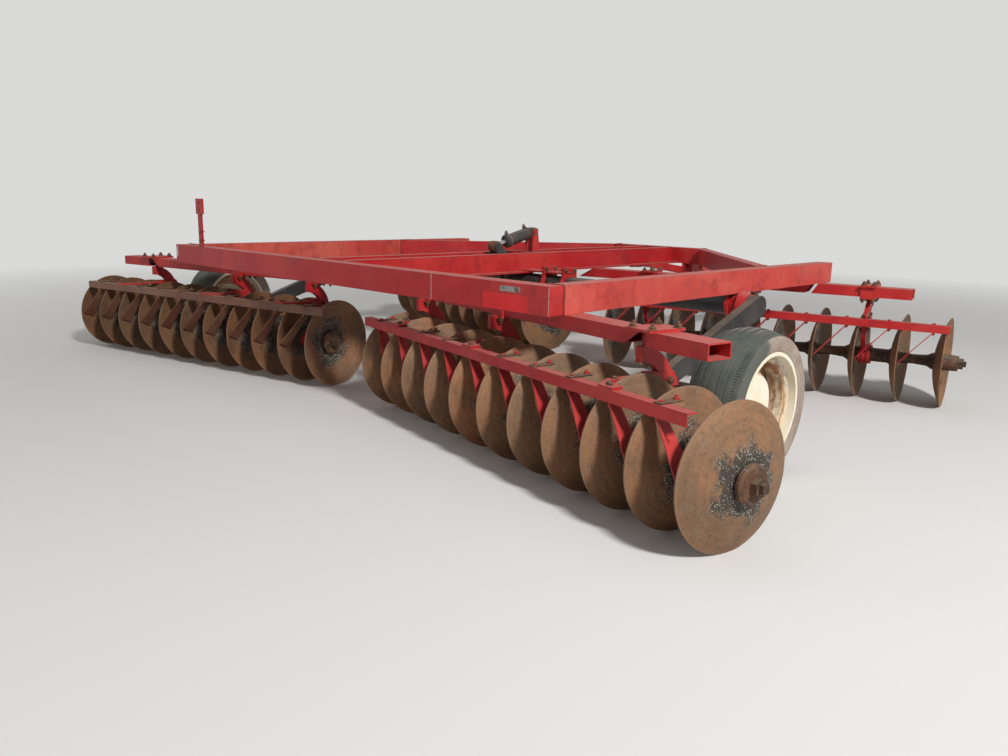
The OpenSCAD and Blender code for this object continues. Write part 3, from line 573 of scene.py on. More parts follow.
steelLook = {
    "steel": (0.42, 0.40, 0.37),
    "steelDark": (0.26, 0.25, 0.24),
    "rust": (0.17, 0.075, 0.035),
    "rustFrom": 0.46,
    "gloss": 0.62,
}
dullSteel = plainSteel("dullSteel", steelLook)
brightBolt = plainSteel("brightBolt", dict(
    steelLook, steel=(0.55, 0.53, 0.48), steelDark=(0.40, 0.37, 0.32), rustFrom=0.56, gloss=0.3))
# the eye at the rod's lower end is rusty, the rod itself bright
rodEye = {"radius": 0.0345, "rustyWithin": 0.045}
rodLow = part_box("cylinder_rod")[0]
eyeAt = Vector((0, rodLow.y + rodEye["radius"], rodLow.z + rodEye["radius"]))
rodSteel = plainSteel("rodSteel", dict(
    steelLook, steel=(0.60, 0.60, 0.60), steelDark=(0.50, 0.50, 0.50), rustFrom=0.62, gloss=0.2,
    rustyAt=tuple(eyeAt), rustyWithin=rodEye["rustyWithin"]))


def wear(node, finish):
    mesh = frame["nodes"][node].data
    mesh.materials.clear()
    mesh.materials.append(finish)


gangNames = ["rear_right", "rear_left", "front_right", "front_left"]
sides = ("right", "left")
plainFinishes = (
    (redPaint, ["rear_cross_beam", "right_inner_rail", "left_inner_rail", "centre_cross_beam",
                "front_cross_beam", "right_front_brace", "left_front_brace", "rockshaft_bearings",
                "light_bracket", "tongue"]),
    (litDustyRedPaint, ["right_side_rail", "left_side_rail", "jack_tube"]),
    (blackPaint, ["rockshaft", "right_wheel_arm", "left_wheel_arm", "cylinder_barrel"]),
    (rodSteel, ["cylinder_rod"]),
    (castIron, ["levelling_rod"]),
    (dullSteel, ["jack_leg"]),
)
for finish, nodes in plainFinishes:
    for node in nodes:
        wear(node, finish)
for gang in gangNames:
    wear(gang + "_support_beam", redPaint)
    wear(gang + "_hangers", redPaint)
    wear(gang + "_scrapers", scraperPaint(gang))
    wear(gang + "_discs", discSteel(gang + "DiscSteel", joints[gang + "_gang_spin"], discLook))
    wear(gang + "_axle", castIron)
for side in sides:
    wear(side + "_rim", creamRim(side + "RimCream", joints[side + "_wheel_spin"], rimLook))
print("finishes put on the nodes")


# Small shapes that the pieces below are made of

def newPiece(name, shape, body, finish, smooth=0):
    bmesh.ops.recalc_face_normals(shape, faces=shape.faces)
    mesh = bpy.data.meshes.new(name)
    shape.to_mesh(mesh)
    shape.free()
    piece = bpy.data.objects.new(name, mesh)
    bpy.context.scene.collection.objects.link(piece)
    mesh.materials.append(finish)
    if smooth:
        mesh.polygons.foreach_set("use_smooth", [True] * len(mesh.polygons))
        mesh.set_sharp_from_angle(angle=math.radians(smooth))
    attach(piece, body)
    return piece


def inMetres(x, y, z):
    return (x * mm, y * mm, z * mm)


def standing(at, direction, spin=0.0):
    # a place whose Z is the direction
    turn = Vector(direction).normalized().to_track_quat("Z", "Y").to_matrix().to_4x4()
    return Matrix.Translation(at) @ turn @ Matrix.Rotation(spin, 4, "Z")


def circle(radius, sides):
    turns = [i * math.tau / sides for i in range(sides)]
    return [(radius * math.cos(a), radius * math.sin(a)) for a in turns]


def joinLoops(shape, loops, closed):
    # faces between neighbouring loops of points
    pairs = list(zip(loops, loops[1:])) + ([(loops[-1], loops[0])] if closed else [])
    for one, two in pairs:
        for k in range(len(one)):
            m = (k + 1) % len(one)
            shape.faces.new((one[k], one[m], two[m], two[k]))


def solidOf(shape, loops):
    joinLoops(shape, loops, False)
    shape.faces.new(loops[0])
    shape.faces.new(loops[-1])


def stack(shape, place, rings, sides):
    # solid of rings of one number of sides, each (radius, height)
    solidOf(shape, [[shape.verts.new(place @ Vector((x, y, height))) for x, y in circle(radius, sides)]
                    for radius, height in rings])


def turned(shape, profile, at, direction, sides):
    # a closed profile of (radius, height) turned round a line through a point
    place = standing(at, direction)
    loops = []
    for x, y in circle(1, sides):
        loops.append([shape.verts.new(place @ Vector((r * x, r * y, z))) for r, z in profile])
    joinLoops(shape, loops, True)


def addBolt(shape, at, direction, size, rng, washer=True, stud=0.0):
    # hexagon head or nut: size is the distance across its corners
    place = standing(at, direction, rng.uniform(0, math.pi / 3))
    r = size / 2
    base = 0.0
    if washer:
        stack(shape, place, [(r * 1.25, -0.001), (r * 1.25, size * 0.07), (r * 1.18, size * 0.09)], 18)
        base = size * 0.085
    head = ((0.95, 0), (1, 0.03), (1, 0.30), (0.86, 0.38))      # shares of its radius and its size
    stack(shape, place, [(r * wide, base + size * high) for wide, high in head], 6)
    if stud:
        pitch = 0.0032      # of the thread
        rings = []
        for i in range(max(2, int(stud / pitch)) + 1):
            foot = base + size * 0.37
            rings += [(r * 0.50, foot + i * pitch), (r * 0.44, foot + (i + 0.5) * pitch)]
        stack(shape, place, rings, 10)


def addTube(shape, path, radius, sides, swell=None):
    # closed tube along points; swell gives the radius of each ring
    ahead = [(b - a).normalized() for a, b in zip(path, path[1:])]
    side = ahead[0].orthogonal().normalized()
    loops = []
    for i, at in enumerate(path):
        way = (ahead[max(0, i - 1)] + ahead[min(i, len(ahead) - 1)]).normalized()
        side = (side - way * side.dot(way)).normalized()
        other = way.cross(side)
        r = swell[i] if swell else radius
        loops.append([shape.verts.new(at + (side * x + other * y) * r) for x, y in circle(1, sides)])
    solidOf(shape, loops)


def addWeld(shape, path, radius, rng, step=0.006):
    # a lumpy bead along a path of points, sunk half into what it joins
    points = [Vector(path[0])]
    for a, b in zip(path, path[1:]):
        a, b = Vector(a), Vector(b)
        count = max(1, round((b - a).length / step))
        points += [a.lerp(b, (i + 1) / count) for i in range(count)]
    swell = [radius * (0.86 + 0.22 * abs(math.sin(i * 1.3)) + rng.uniform(-0.08, 0.08))
             for i in range(len(points))]
    swell[0] *= 0.5
    swell[-1] *= 0.5
    addTube(shape, points, radius, 7, swell)


def addSlab(shape, place, low, high, edge):
    # flat block with its edges broken
    (x0, y0, z0), (x1, y1, z1) = low, high
    loops = []
    for height, inset in ((z0, edge), (z0 + edge, 0), (z1 - edge, 0), (z1, edge)):
        a, b, c, d = x0 + inset, y0 + inset, x1 - inset, y1 - inset
        outline = [(a + edge, b), (c - edge, b), (c, b + edge), (c, d - edge),
                   (c - edge, d), (a + edge, d), (a, d - edge), (a, b + edge)]
        loops.append([shape.verts.new(place @ Vector((x, y, height))) for x, y in outline])
    solidOf(shape, loops)


# Tyres

tyreLook = {
    "grooves": (0.020, 0.058),      # worn grooves each side of the middle, metres across
    "grooveWidth": 0.006,
    "grooveDepth": 0.0022,
    "cuts": 156,                    # short cuts round each shoulder
    "cutBand": (0.084, 0.099),
    "cutWidth": 0.0034,
    "cutDepth": 0.0038,
    "wallRings": (0.10, 0.34, 0.62, 0.88),  # shares of the wall's height
    "ringDepth": 0.0010,
    "shoulder": 0.104,              # where the crown turns down, metres across
    "past": 0.0064,                 # how far the wall bulges past the rim's flanges
    "flangeRise": 0.014,            # the flange stands this high above the bead's seat
    "flangeThick": 0.0065,
}


def wallPoints(rimRadius, beadHalf, radius, halfWidth, look):
    # bead and one side wall, from the bead up, as (radius, across)
    flangeTop = rimRadius + 0.0155
    top = radius - 0.0335
    middle = (rimRadius + radius) / 2
    bulge = halfWidth - beadHalf
    sideRadius = ((middle - rimRadius) ** 2 + bulge ** 2) / (2 * bulge)

    def across(r):
        return halfWidth - sideRadius + math.sqrt(sideRadius ** 2 - (r - middle) ** 2)

    marks = [flangeTop + (top - flangeTop) * i / 12 for i in range(13)]
    dips = {}
    for share in look["wallRings"]:
        at = flangeTop + (top - flangeTop) * share
        marks = [m for m in marks if abs(m - at) > 0.0035]
        for step, dip in ((-0.0026, 0), (-0.0016, 1), (0.0016, 1), (0.0026, 0)):
            marks.append(at + step)
            dips[at + step] = dip * look["ringDepth"]
    bead = [(rimRadius + 0.0006, beadHalf - 0.030), (rimRadius + 0.0006, beadHalf), (flangeTop, beadHalf)]
    return bead + [(r, across(r) - dips.get(r, 0)) for r in sorted(marks)]


def treadPoints(wallTop, radius, halfWidth, look):
    # shoulder and half the crown, towards the middle
    crown = halfWidth * 2 * 1.15

    def height(across):
        return radius - crown + math.sqrt(crown ** 2 - across ** 2)

    edge = look["shoulder"]
    topRadius, topAcross = wallTop
    points = []
    for i in range(1, 8):
        a = math.radians(90 * i / 8)
        points.append((topRadius + (height(edge) - topRadius) * math.sin(a),
                       edge + (topAcross - edge) * math.cos(a)))
    half = look["grooveWidth"] / 2
    marks = {edge - i * edge / 12 for i in range(13)}
    for groove in look["grooves"]:
        marks = {m for m in marks if abs(m - groove) > half + 0.001}
        marks |= {groove - half - 0.0008, groove - half, groove + half, groove + half + 0.0008}
    for end in look["cutBand"]:
        marks |= {end - 0.0003, end + 0.0003}
    for across in sorted(marks, reverse=True):
        low = any(abs(across - g) < half + 0.0001 for g in look["grooves"])
        points.append((height(across) - (look["grooveDepth"] if low else 0), across))
    return points


def buildTyre(side, look):
    joint = joints[side + "_wheel_spin"]
    low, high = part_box(side + "_tyre")
    rimLow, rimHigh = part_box(side + "_rim")
    radius = (high.z - low.z) / 2 - 0.0006
    halfWidth = (rimHigh.x - rimLow.x) / 2 + look["past"]
    rimRadius = (rimHigh.z - rimLow.z) / 2 - look["flangeRise"]
    beadHalf = (rimHigh.x - rimLow.x) / 2 - look["flangeThick"]
    middle = (rimRadius + radius) / 2
    wall = wallPoints(rimRadius, beadHalf, radius, halfWidth, look)
    oneSide = wall + treadPoints(wall[-1], radius, halfWidth, look)
    outside = oneSide + [(r, -a) for r, a in reversed(oneSide[:-1])]
    inner = [(rimRadius + 0.019, beadHalf - 0.020), (middle, halfWidth - 0.016),
             (radius - 0.050, halfWidth - 0.019), (radius - 0.031, halfWidth - 0.042)]
    profile = outside + [(r, -a) for r, a in inner] + [(r, a) for r, a in reversed(inner)]
    lowest, highest = look["cutBand"]
    place = standing(joint["pos_m"], joint["axis"])
    half = look["cutWidth"] / 2 / radius
    shape = bmesh.new()
    loops = []
    for n in range(look["cuts"]):
        for turn in (-half, 0, half):
            a = n * math.tau / look["cuts"] + turn
            loop = []
            for k, (r, z) in enumerate(profile):
                if turn == 0 and k < len(outside) and lowest < abs(z) < highest and r > middle + 0.02:
                    r -= look["cutDepth"]
                loop.append(shape.verts.new(place @ Vector((r * math.cos(a), r * math.sin(a), z))))
            loops.append(loop)
    joinLoops(shape, loops, True)
    rubber = tyreRubber(side + "TyreRubber", joint, rubberLook)
    tyre = newPiece(side + "Tyre", shape, side + "_wheel", rubber, smooth=38)
    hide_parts(side + "_tyre")


for side in sides:
    buildTyre(side, tyreLook)
print("tyres built")


# Wheel hubs

hubLook = {
    "faceOut": 0.037,       # the centre plate's face, metres out from the wheel's middle
    "backOut": 0.030,
    "holeAt": (-0.081, 0.044),   # small hole in the plate, forward and up from the centre
    "holeRadius": 0.011,
    "nuts": 6,
    "nutCircle": 0.070,
    "nutSize": 0.024,
    "nutFirst": 0.3,        # angles in radians
    "valveAngle": 2.2,
    "valveRadius": 0.188,
    "valveFrom": -0.010,
    "flange": [(0.0465, 0.0), (0.094, 0.0), (0.094, 0.010), (0.088, 0.014), (0.062, 0.016), (0.0465, 0.026)],
    "stem": [(0.0075, -0.002), (0.0068, 0.004), (0.0055, 0.014), (0.0042, 0.020), (0.0042, 0.032),
             (0.0048, 0.033), (0.0048, 0.043), (0.003, 0.045)],
    "weldIn": -0.0125,
    "weldCircle": 0.2035,
}


def buildHub(side, look):
    rng = random.Random(11)
    body = side + "_wheel"
    joint = joints[body + "_spin"]
    axis = Vector(joint["axis"]) * (1 if side == "right" else -1)
    centre = Vector(joint["pos_m"])
    back = centre + axis * look["backOut"]

    def spoke(a):
        return Vector((0, math.cos(a), math.sin(a)))

    # a rolled lip round the small hole, and behind it a black disc, painted shade for the dark inside the
    # hole
    r = look["holeRadius"]
    at = centre + axis * look["faceOut"] + Vector((0, *look["holeAt"]))
    lip, dark = bmesh.new(), bmesh.new()
    rolled = [(r, -0.001), (r + 0.0004, 0.0012), (r + 0.0022, 0.0018),
              (r + 0.0045, 0.0004), (r + 0.0045, -0.001)]
    turned(lip, rolled, at, axis, 32)
    newPiece(side + "PlateHoleLip", lip, body, boltIron, smooth=40)
    # painted shade: a black disc just under the plate's face stands for the dark seen through the hole
    holeShadeDisc = [(0.0002, 0.0004), (r * 0.6, 0.0005), (r + 0.0005, 0.0009), (r + 0.0005, -0.001), (0.0002, -0.001)]
    turned(dark, holeShadeDisc, at, axis, 32)
    newPiece(side + "PlateHoleShade", dark, body, blackPaint, smooth=40)
    # hub flange behind the plate, with its nuts
    flange, valve, seam = bmesh.new(), bmesh.new(), bmesh.new()
    turned(flange, look["flange"], back, -axis, 60)
    for i in range(look["nuts"]):
        out = spoke(i * math.tau / look["nuts"] + look["nutFirst"]) * look["nutCircle"]
        addBolt(flange, back + out - axis * 0.0145, -axis, look["nutSize"], rng, stud=0.008)
    newPiece(side + "HubFlange", flange, body, castIron, smooth=35)
    out = spoke(look["valveAngle"])
    foot = centre + axis * look["valveFrom"] + out * look["valveRadius"]
    stack(valve, standing(foot, axis - out * 0.25), look["stem"], 14)
    newPiece(side + "Valve", valve, body, blackPaint, smooth=35)
    # weld between the centre plate and the rim's well
    inner = centre + axis * look["weldIn"]
    ring = [inner + spoke(i * math.tau / 60) * look["weldCircle"] for i in range(61)]
    addWeld(seam, ring, 0.0042, rng, 0.011)
    newPiece(side + "RimWeld", seam, body, boltIron, smooth=50)


for side in sides:
    buildHub(side, hubLook)
print("hubs built")


# Gang fittings: bolts, nuts, grease nipples, tabs and scraper bolts
# Everything here is in a gang's own frame: out along the axle, ahead, up from the ground, in millimetres

gangLook = {
    "pitch": 250,
    "rearHangers": (220, 970, 1970),
    "frontHangers": (280, 1030, 1780),
    "outerRear": 1970,
    "axleUp": 280,
    "bearingHalf": 35,
    "plateTop": 739,
    "strapUnder": 651,
    "boltAcross": 69,         # clamp bolts, each side of the beam's middle
    "boltAlong": (-30, 30),
    "outerAlong": (-30, 80),
    "beamAhead": 80,
    "clampBolt": 0.030,
    "bearingBolt": 0.014,
    "bearingCircle": 53,
    "bearingAngles": (35, 145, 215, 325),
    "seal": [(0.0365, -0.001), (0.0365, 0.0030), (0.0400, 0.0038), (0.0445, 0.0018), (0.0445, -0.001)],
    "nippleAt": (24, 0, 340.5),
    "nipple": [(0.0055, 0), (0.0055, 0.004), (0.0035, 0.0045),
               (0.0030, 0.010), (0.0042, 0.012), (0.0030, 0.015)],
    "noses": (150, 160, 238),          # rear, front and outer rear hangers, ahead of the axle
    "bodyBolts": ((53, 512, 0.030), (26, 458, 0.018)),    # behind the nose, up, size
    "armTop": 544,
    "armBolts": ((80, -190), (60, -178), (-2, -96), (-2, 30)),
    "frontArmBolts": ((125, 560), (185, 548)),
    "armBolt": 0.022,
    "weldAside": 14.5,
    "strapWeld": (21, 71),
    "bearingWeld": 62.5,
    "barTop": 532,
    "bladeRoot": 178,
    "bladeAhead": -186,
    "bladeBolts": (478, 508),
    "bladeBolt": 0.016,
    "tab": (19, -212, -98, 7),          # half width, from and to ahead, thickness
    "tabBolts": ((-116, 0.024, 0.006), (-190, 0.018, 0)),     # ahead, size, stud
    "rearBlades": range(1, 11),
    "frontBlades": range(0, 9),
}
frameMembers = ["rear_cross_beam", "right_side_rail", "left_side_rail", "right_inner_rail",
                "left_inner_rail", "right_front_brace", "left_front_brace", "front_cross_beam"]


def gangFrame(gang):
    joint = joints[gang + "_gang_spin"]
    across = Vector(joint["axis"])
    outward = across if "right" in gang else -across
    ahead = Vector((-across.y, across.x, 0))
    start = Vector((joint["pos_m"][0], joint["pos_m"][1], 0))
    return Matrix.Translation(start) @ Matrix((outward, ahead, Vector((0, 0, 1)))).transposed().to_4x4()


surfaces = {}


def surfaceOf(node):
    if node not in surfaces:
        mesh = frame["nodes"][node].data
        corners = [v.co.copy() for v in mesh.vertices]
        surfaces[node] = BVHTree.FromPolygons(corners, [tuple(p.vertices) for p in mesh.polygons])
    return surfaces[node]


def seatOn(node, at, direction, reach=0.004):
    # where the node's face lies under a point, or None
    return surfaceOf(node).ray_cast(at + direction * reach, -direction, reach * 2)[0]


def coveredBy(nodes, at, direction, reach):
    return any(surfaceOf(n).ray_cast(at + direction * 0.001, direction, reach)[0] is not None for n in nodes)


def gangParts(gang, look):
    rng = random.Random(gang)
    rear = gang.startswith("rear")
    place = gangFrame(gang)
    turn = place.to_3x3()
    side = 1 if rear else -1
    stations = look["rearHangers"] if rear else look["frontHangers"]
    axleUp = look["axleUp"]
    body = "frame"

    def spot(x, y, z):
        return place @ (Vector((x, y, z)) * mm)

    def way(x, y, z):
        return turn @ Vector((x, y, z))

    def boltOn(shape, at, direction, size, reach=0.004, under=(), **options):
        # a bolt where the hanger's face is, unless a frame member lies over it
        seat = seatOn(gang + "_hangers", at, direction, reach)
        if seat is not None and not coveredBy(under, seat, direction, 0.2):
            addBolt(shape, seat, direction, size, rng, **options)

    up, down = way(0, 0, 1), way(0, 0, -1)
    clamps, bearings, bolts, welds = bmesh.new(), bmesh.new(), bmesh.new(), bmesh.new()
    for x in stations:
        outer = rear and x == look["outerRear"]
        for dx in look["outerAlong"] if outer else look["boltAlong"]:
            for dy in (-look["boltAcross"], look["boltAcross"]):
                y = side * look["beamAhead"] + dy
                boltOn(clamps, spot(x + dx, y, look["plateTop"]), up, look["clampBolt"],
                       under=frameMembers, stud=0.012)
                boltOn(clamps, spot(x + dx, y, look["strapUnder"]), down, look["clampBolt"], stud=0.010)
        # bearing: bolts round both faces and a nipple for grease on top
        for face in (-1, 1):
            out = way(face, 0, 0)
            faceAt = x + face * look["bearingHalf"]
            for a in look["bearingAngles"]:
                dy = look["bearingCircle"] * math.cos(math.radians(a))
                dz = look["bearingCircle"] * math.sin(math.radians(a))
                addBolt(bearings, spot(faceAt, dy, axleUp + dz), out, look["bearingBolt"], rng, washer=False)
            turned(bearings, look["seal"], spot(faceAt, 0, axleUp), out, 40)
        dx, dy, z = look["nippleAt"]
        stack(bearings, standing(spot(x + dx, dy, z), up), look["nipple"], 10)
        # bolts through the hanger's thick part
        nose = look["noses"][2 if outer else 0 if rear else 1]
        for face in (-1, 1):
            for back, z, size in look["bodyBolts"]:
                boltOn(bolts, spot(x + face * 18, side * (nose - back), z), way(face, 0, 0), size, 0.006,
                       washer=size > 0.02, stud=0.006 if face < 0 else 0)
        if rear:
            for dx, y in look["armBolts"]:
                boltOn(bolts, spot(x + dx, y, look["armTop"]), up, look["armBolt"])
        else:
            for y, z in look["frontArmBolts"]:
                for face in (-1, 1):
                    boltOn(bolts, spot(x + 16 + face * 6, -y, z), way(face, 0, 0), look["armBolt"], 0.003)
        # welds: hanger to strap, hanger to bearing
        r = look["bearingWeld"]
        arc = [math.radians(a) for a in range(-60, 61, 12)]
        for face in (-1, 1):
            cheek = x + face * look["weldAside"]
            if not outer:
                strap = [spot(cheek, side * y, look["strapUnder"]) for y in look["strapWeld"]]
                addWeld(welds, strap, 0.0055, rng)
            bend = [spot(cheek, side * r * math.cos(a), axleUp + r * math.sin(a)) for a in arc]
            addWeld(welds, bend, 0.0050, rng)
    newPiece(gang + "ClampBolts", clamps, body, boltIron, smooth=30)
    newPiece(gang + "BearingParts", bearings, body, castIron, smooth=35)
    newPiece(gang + "HangerBolts", bolts, body, boltIron, smooth=30)
    newPiece(gang + "HangerWelds", welds, body, weldIron, smooth=60)

    # a bolt or two at each scraper, and the tab that holds its blade on a rear gang
    tabs, tabBolts, bladeBolts = bmesh.new(), bmesh.new(), bmesh.new()
    half, near, far, thick = look["tab"]
    bar, ahead, size = look["barTop"], look["bladeAhead"], look["bladeBolt"]
    for k in look["rearBlades"] if rear else look["frontBlades"]:
        x = k * look["pitch"] - side * look["bladeRoot"]
        low, high = look["bladeBolts"]
        # two heads on the face that the blade leans away from, and a nut on the other
        for face, z, stud in ((-side, low, 0), (-side, high, 0), (side, high, 0.005)):
            addBolt(bladeBolts, spot(x + face * 4, ahead, z), way(face, 0, 0), size, rng,
                    washer=False, stud=stud)
        free = all(not (s - 45 < x < s + 145) for s in stations)
        if rear and free:
            addSlab(tabs, place, inMetres(x - half, near, bar), inMetres(x + half, far, bar + thick), 0.0015)
            for y, across, stud in look["tabBolts"]:
                addBolt(tabBolts, spot(x, y, bar + thick), up, across, rng, washer=False, stud=stud)
        elif free:
            addBolt(tabBolts, spot(x, -192, bar), up, 0.020, rng)
    if rear:
        newPiece(gang + "ScraperTabs", tabs, body, castIron, smooth=30)
    newPiece(gang + "TabBolts", tabBolts, body, scraperPaint(gang), smooth=30)
    newPiece(gang + "ScraperBolts", bladeBolts, body, brightBolt, smooth=30)


for gang in gangNames:
    gangParts(gang, gangLook)
print("gang fittings built")


def axleParts(gang, look):
    # a bolt sunk in each square end of the axle
    rng = random.Random(gang + "Axle")
    place = gangFrame(gang)
    back = place.inverted()
    xs = [(back @ v.co).x for v in frame["nodes"][gang + "_axle"].data.vertices]
    ends = bmesh.new()
    for end, face in ((min(xs), -1), (max(xs), 1)):
        tip = place @ Vector((end, 0, look["axleUp"] * mm))
        out = place.to_3x3() @ Vector((face, 0, 0))
        addBolt(ends, tip - out * 0.0135, out, 0.020, rng, washer=False)
    newPiece(gang + "AxleEnds", ends, gang + "_gang", boltIron, smooth=30)


for gang in gangNames:
    axleParts(gang, gangLook)
print("axle ends built")


# Frame details: welds, bolts, plates

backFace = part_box("rear_cross_beam")[0].y     # the frame's back; the places below are measured from it


def onFrame(x, y, z):
    return Vector((x * mm, backFace + y * mm, z * mm))


weldLook = {
    "radius": 0.0055,
    "top": 857,
    "under": 727,
    "backBeam": 100,       # front face of the rear beam
    "railOut": 1830,
    "railIn": 1730,
    "innerRail": (90, 155),
    "innerFoot": 225,
    "frontBeam": 3460,
    "centreBeam": (1800, 1900),
    "centreHalf": 90,
    "brace": ((1730, 2000, 2120), (440, 3462, 3545)),   # X, and from and to along Y
    "ears": (272, 352),
    "lugs": (366, 541),
    "plateHalf": 9,
    "rockshaft": 1650,
    "railPlate": 1780,
    "mast": ((25, 41), 1828, 1898),
    "bracket": ((20, 32), -1494, -1446),
}


def frameWelds(look):
    rng = random.Random(5)
    shape = bmesh.new()
    top, under, half = look["top"], look["under"], look["plateHalf"]
    beam, front, shaft = look["backBeam"], look["frontBeam"], look["rockshaft"]

    def seam(one, two):
        addWeld(shape, [onFrame(*one), onFrame(*two)], look["radius"], rng)

    def lengthwise(x, y0, y1, z):
        seam((x, y0, z), (x, y1, z))

    def upright(x, y, low=under):
        seam((x, y, top), (x, y, low))

    for s in (-1, 1):
        outer, inner = s * look["railOut"], s * look["railIn"]
        seam((outer, beam, top), (inner, beam, top))
        upright(outer, beam)
        upright(inner, beam)
        low, high = look["innerRail"]
        for y in (beam, front):
            seam((s * low, y, top), (s * high, y, top))
            upright(s * low, y, under + 12)
            upright(s * high, y, under + 12)
            seam((s * high, y, under + 10), (s * look["innerFoot"], y, under + 10))
        near, far = look["centreBeam"]
        x = s * look["centreHalf"]
        lengthwise(x, near, far, top)
        upright(x, near)
        upright(x, far)
        for x, y0, y1 in look["brace"]:
            lengthwise(s * x, y0, y1, top)
            upright(s * x, y0)
        for x in look["ears"]:
            for edge in (-half, half):
                lengthwise(s * x + edge, front + 4, front + 96, under)
        for x in look["lugs"]:
            for edge in (-half, half):
                lengthwise(s * x + edge, shaft - 58, shaft + 58, under + 20)
        for edge in (-half, half):
            lengthwise(s * look["railPlate"] + edge, shaft - 68, shaft + 68, under)
        edges, y0, y1 = look["mast"]
        for edge in edges:
            lengthwise(s * edge, y0, y1, top)
    ys, x0, x1 = look["bracket"]
    for y in ys:
        seam((x0, y, top), (x1, y, top))
    newPiece("frameWelds", shape, "frame", weldIron, smooth=60)


frameWelds(weldLook)


rearBeamLook = {
    "plate": (1534, 1660, 815, 840),      # blank plate: from, to, low, high in millimetres
    "patch": (1423, 1705, 729, 803),      # newer paint
    "reflector": (-1826, -1797, 776, 846),
    "rivet": [(0.0002, 0.0012), (0.0016, 0.0009), (0.0022, 0.0), (0.0002, -0.0003)],
    "rivetIn": 5,
    # the second line stands on the beam's rounded right corner; its pale colour is a painted highlight
    "seams": ((1052, 0.4, 728, 856, 0.0022), (1829.2, 0.8, 731, 855, 0.0018)),   # X, Y, low, high, radius
}


def rearBeamDetails(look):
    rng = random.Random(8)

    def facing(name, box, thick, finish, rivets=False):
        x0, x1, z0, z1 = box
        shape = bmesh.new()
        # drawn lying down, X along the beam and Y up it, then stood on the rear face
        stand = Matrix.Translation(onFrame(0, 0, 0)) @ Matrix.Rotation(math.pi / 2, 4, "X")
        addSlab(shape, stand, inMetres(x0, z0, -0.2), inMetres(x1, z1, thick), 0.0004)
        if rivets:
            inset = look["rivetIn"]
            for x in (x0 + inset, x1 - inset):
                for z in (z0 + inset, z1 - inset):
                    turned(shape, look["rivet"], onFrame(x, -thick, z), (0, -1, 0), 12)
        newPiece(name, shape, "frame", finish, smooth=30)

    facing("blankPlate", look["plate"], 1.0, dullSteel, rivets=True)
    facing("newerPaint", look["patch"], 0.35, freshRed)
    facing("reflector", look["reflector"], 2.2, paleReflector, rivets=True)
    # pale lines: a seam, and a painted highlight along the beam's right corner
    seam = bmesh.new()
    for x, y, low, high, radius in look["seams"]:
        addWeld(seam, [onFrame(x, y, low), onFrame(x, y, high)], radius, rng)
    newPiece("beamSeamAndCornerHighlight", seam, "frame", paleSeamAndHighlight, smooth=60)


rearBeamDetails(rearBeamLook)


bracketLook = {
    "x": -1470,
    "behind": 20,           # rear and front face of the bar
    "front": 32,
    "headBehind": 18,
    "foot": (900, 960),
    "head": (1110, 1160),
}


def bracketDetails(look):
    rng = random.Random(21)
    shape = bmesh.new()
    x = look["x"]
    for z in look["foot"]:
        addBolt(shape, onFrame(x, look["behind"], z), (0, -1, 0), 0.020, rng)
        addBolt(shape, onFrame(x, look["front"], z), (0, 1, 0), 0.020, rng, stud=0.006)
    for z in look["head"]:
        addBolt(shape, onFrame(x, look["headBehind"], z), (0, -1, 0), 0.016, rng, washer=False)
    newPiece("bracketBolts", shape, "frame", boltIron, smooth=30)


bracketDetails(bracketLook)


rockshaftLook = {
    "plates": (366, 541),
    "plateHalf": 9,
    "at": 1650,
    "spread": 46,
    "up": 765,
    "bolt": 0.026,
    "railPlate": 1780,
    "railSpread": 50,
    "railUp": 706,
    "railBolt": 0.022,
}


def rockshaftDetails(look):
    rng = random.Random(31)
    shape = bmesh.new()
    half, y = look["plateHalf"], look["at"]
    for s in (-1, 1):
        for x in look["plates"]:
            for face in (-1, 1):
                for dy in (-look["spread"], look["spread"]):
                    addBolt(shape, onFrame(s * x + face * half, y + dy, look["up"]), (face, 0, 0),
                            look["bolt"], rng, stud=0.008 if face < 0 else 0)
        for dy in (-look["railSpread"], look["railSpread"]):
            for face in (-1, 1):
                addBolt(shape, onFrame(s * look["railPlate"] + face * half, y + dy, look["railUp"]),
                        (face, 0, 0), look["railBolt"], rng)
    newPiece("rockshaftBolts", shape, "frame", boltIron, smooth=30)


rockshaftDetails(rockshaftLook)
print("frame details built")


# Lift cylinder

cylinderLook = {
    "ports": (74, 258),        # along the bore from the anchor pin, millimetres
    "portTop": 56,
    "portBolt": 0.024,
    "plug": [(0.008, 0), (0.008, 0.008), (0.0065, 0.010)],
    "anchorEnd": 47,
    "leverEnd": 44,
    "pinRadius": 0.016,
    "collar": [(0.0162, -0.001), (0.0162, 0.0016), (0.0265, 0.0018), (0.0275, 0.0004), (0.0275, -0.001)],
    "glandAt": 253,
    "glandRadius": 0.0478,
    "boreLength": (eyeAt - Vector(joints["lift_barrel_tilt"]["pos_m"])).length,
}


def addCotter(shape, at, axis, through, size):
    # split pin: a stem across the pin with an eye on one side and bent legs on the other
    axis, through = Vector(axis), Vector(through)
    r = 0.0022
    addTube(shape, [at - through * (size + 0.004), at + through * (size + 0.004)], r, 8)
    eye = []
    for i in range(13):
        a = math.tau * i / 12
        eye.append(at - through * (size + 0.010 - 0.006 * math.cos(a)) + axis * 0.006 * math.sin(a))
    addTube(shape, eye, r * 0.8, 8)
    for s in (-1, 1):
        leg = [at + through * (size + 0.001), at + through * (size + 0.007) + axis * s * 0.002,
               at + through * (size + 0.010) + axis * s * 0.011]
        addTube(shape, leg, r * 0.75, 8)


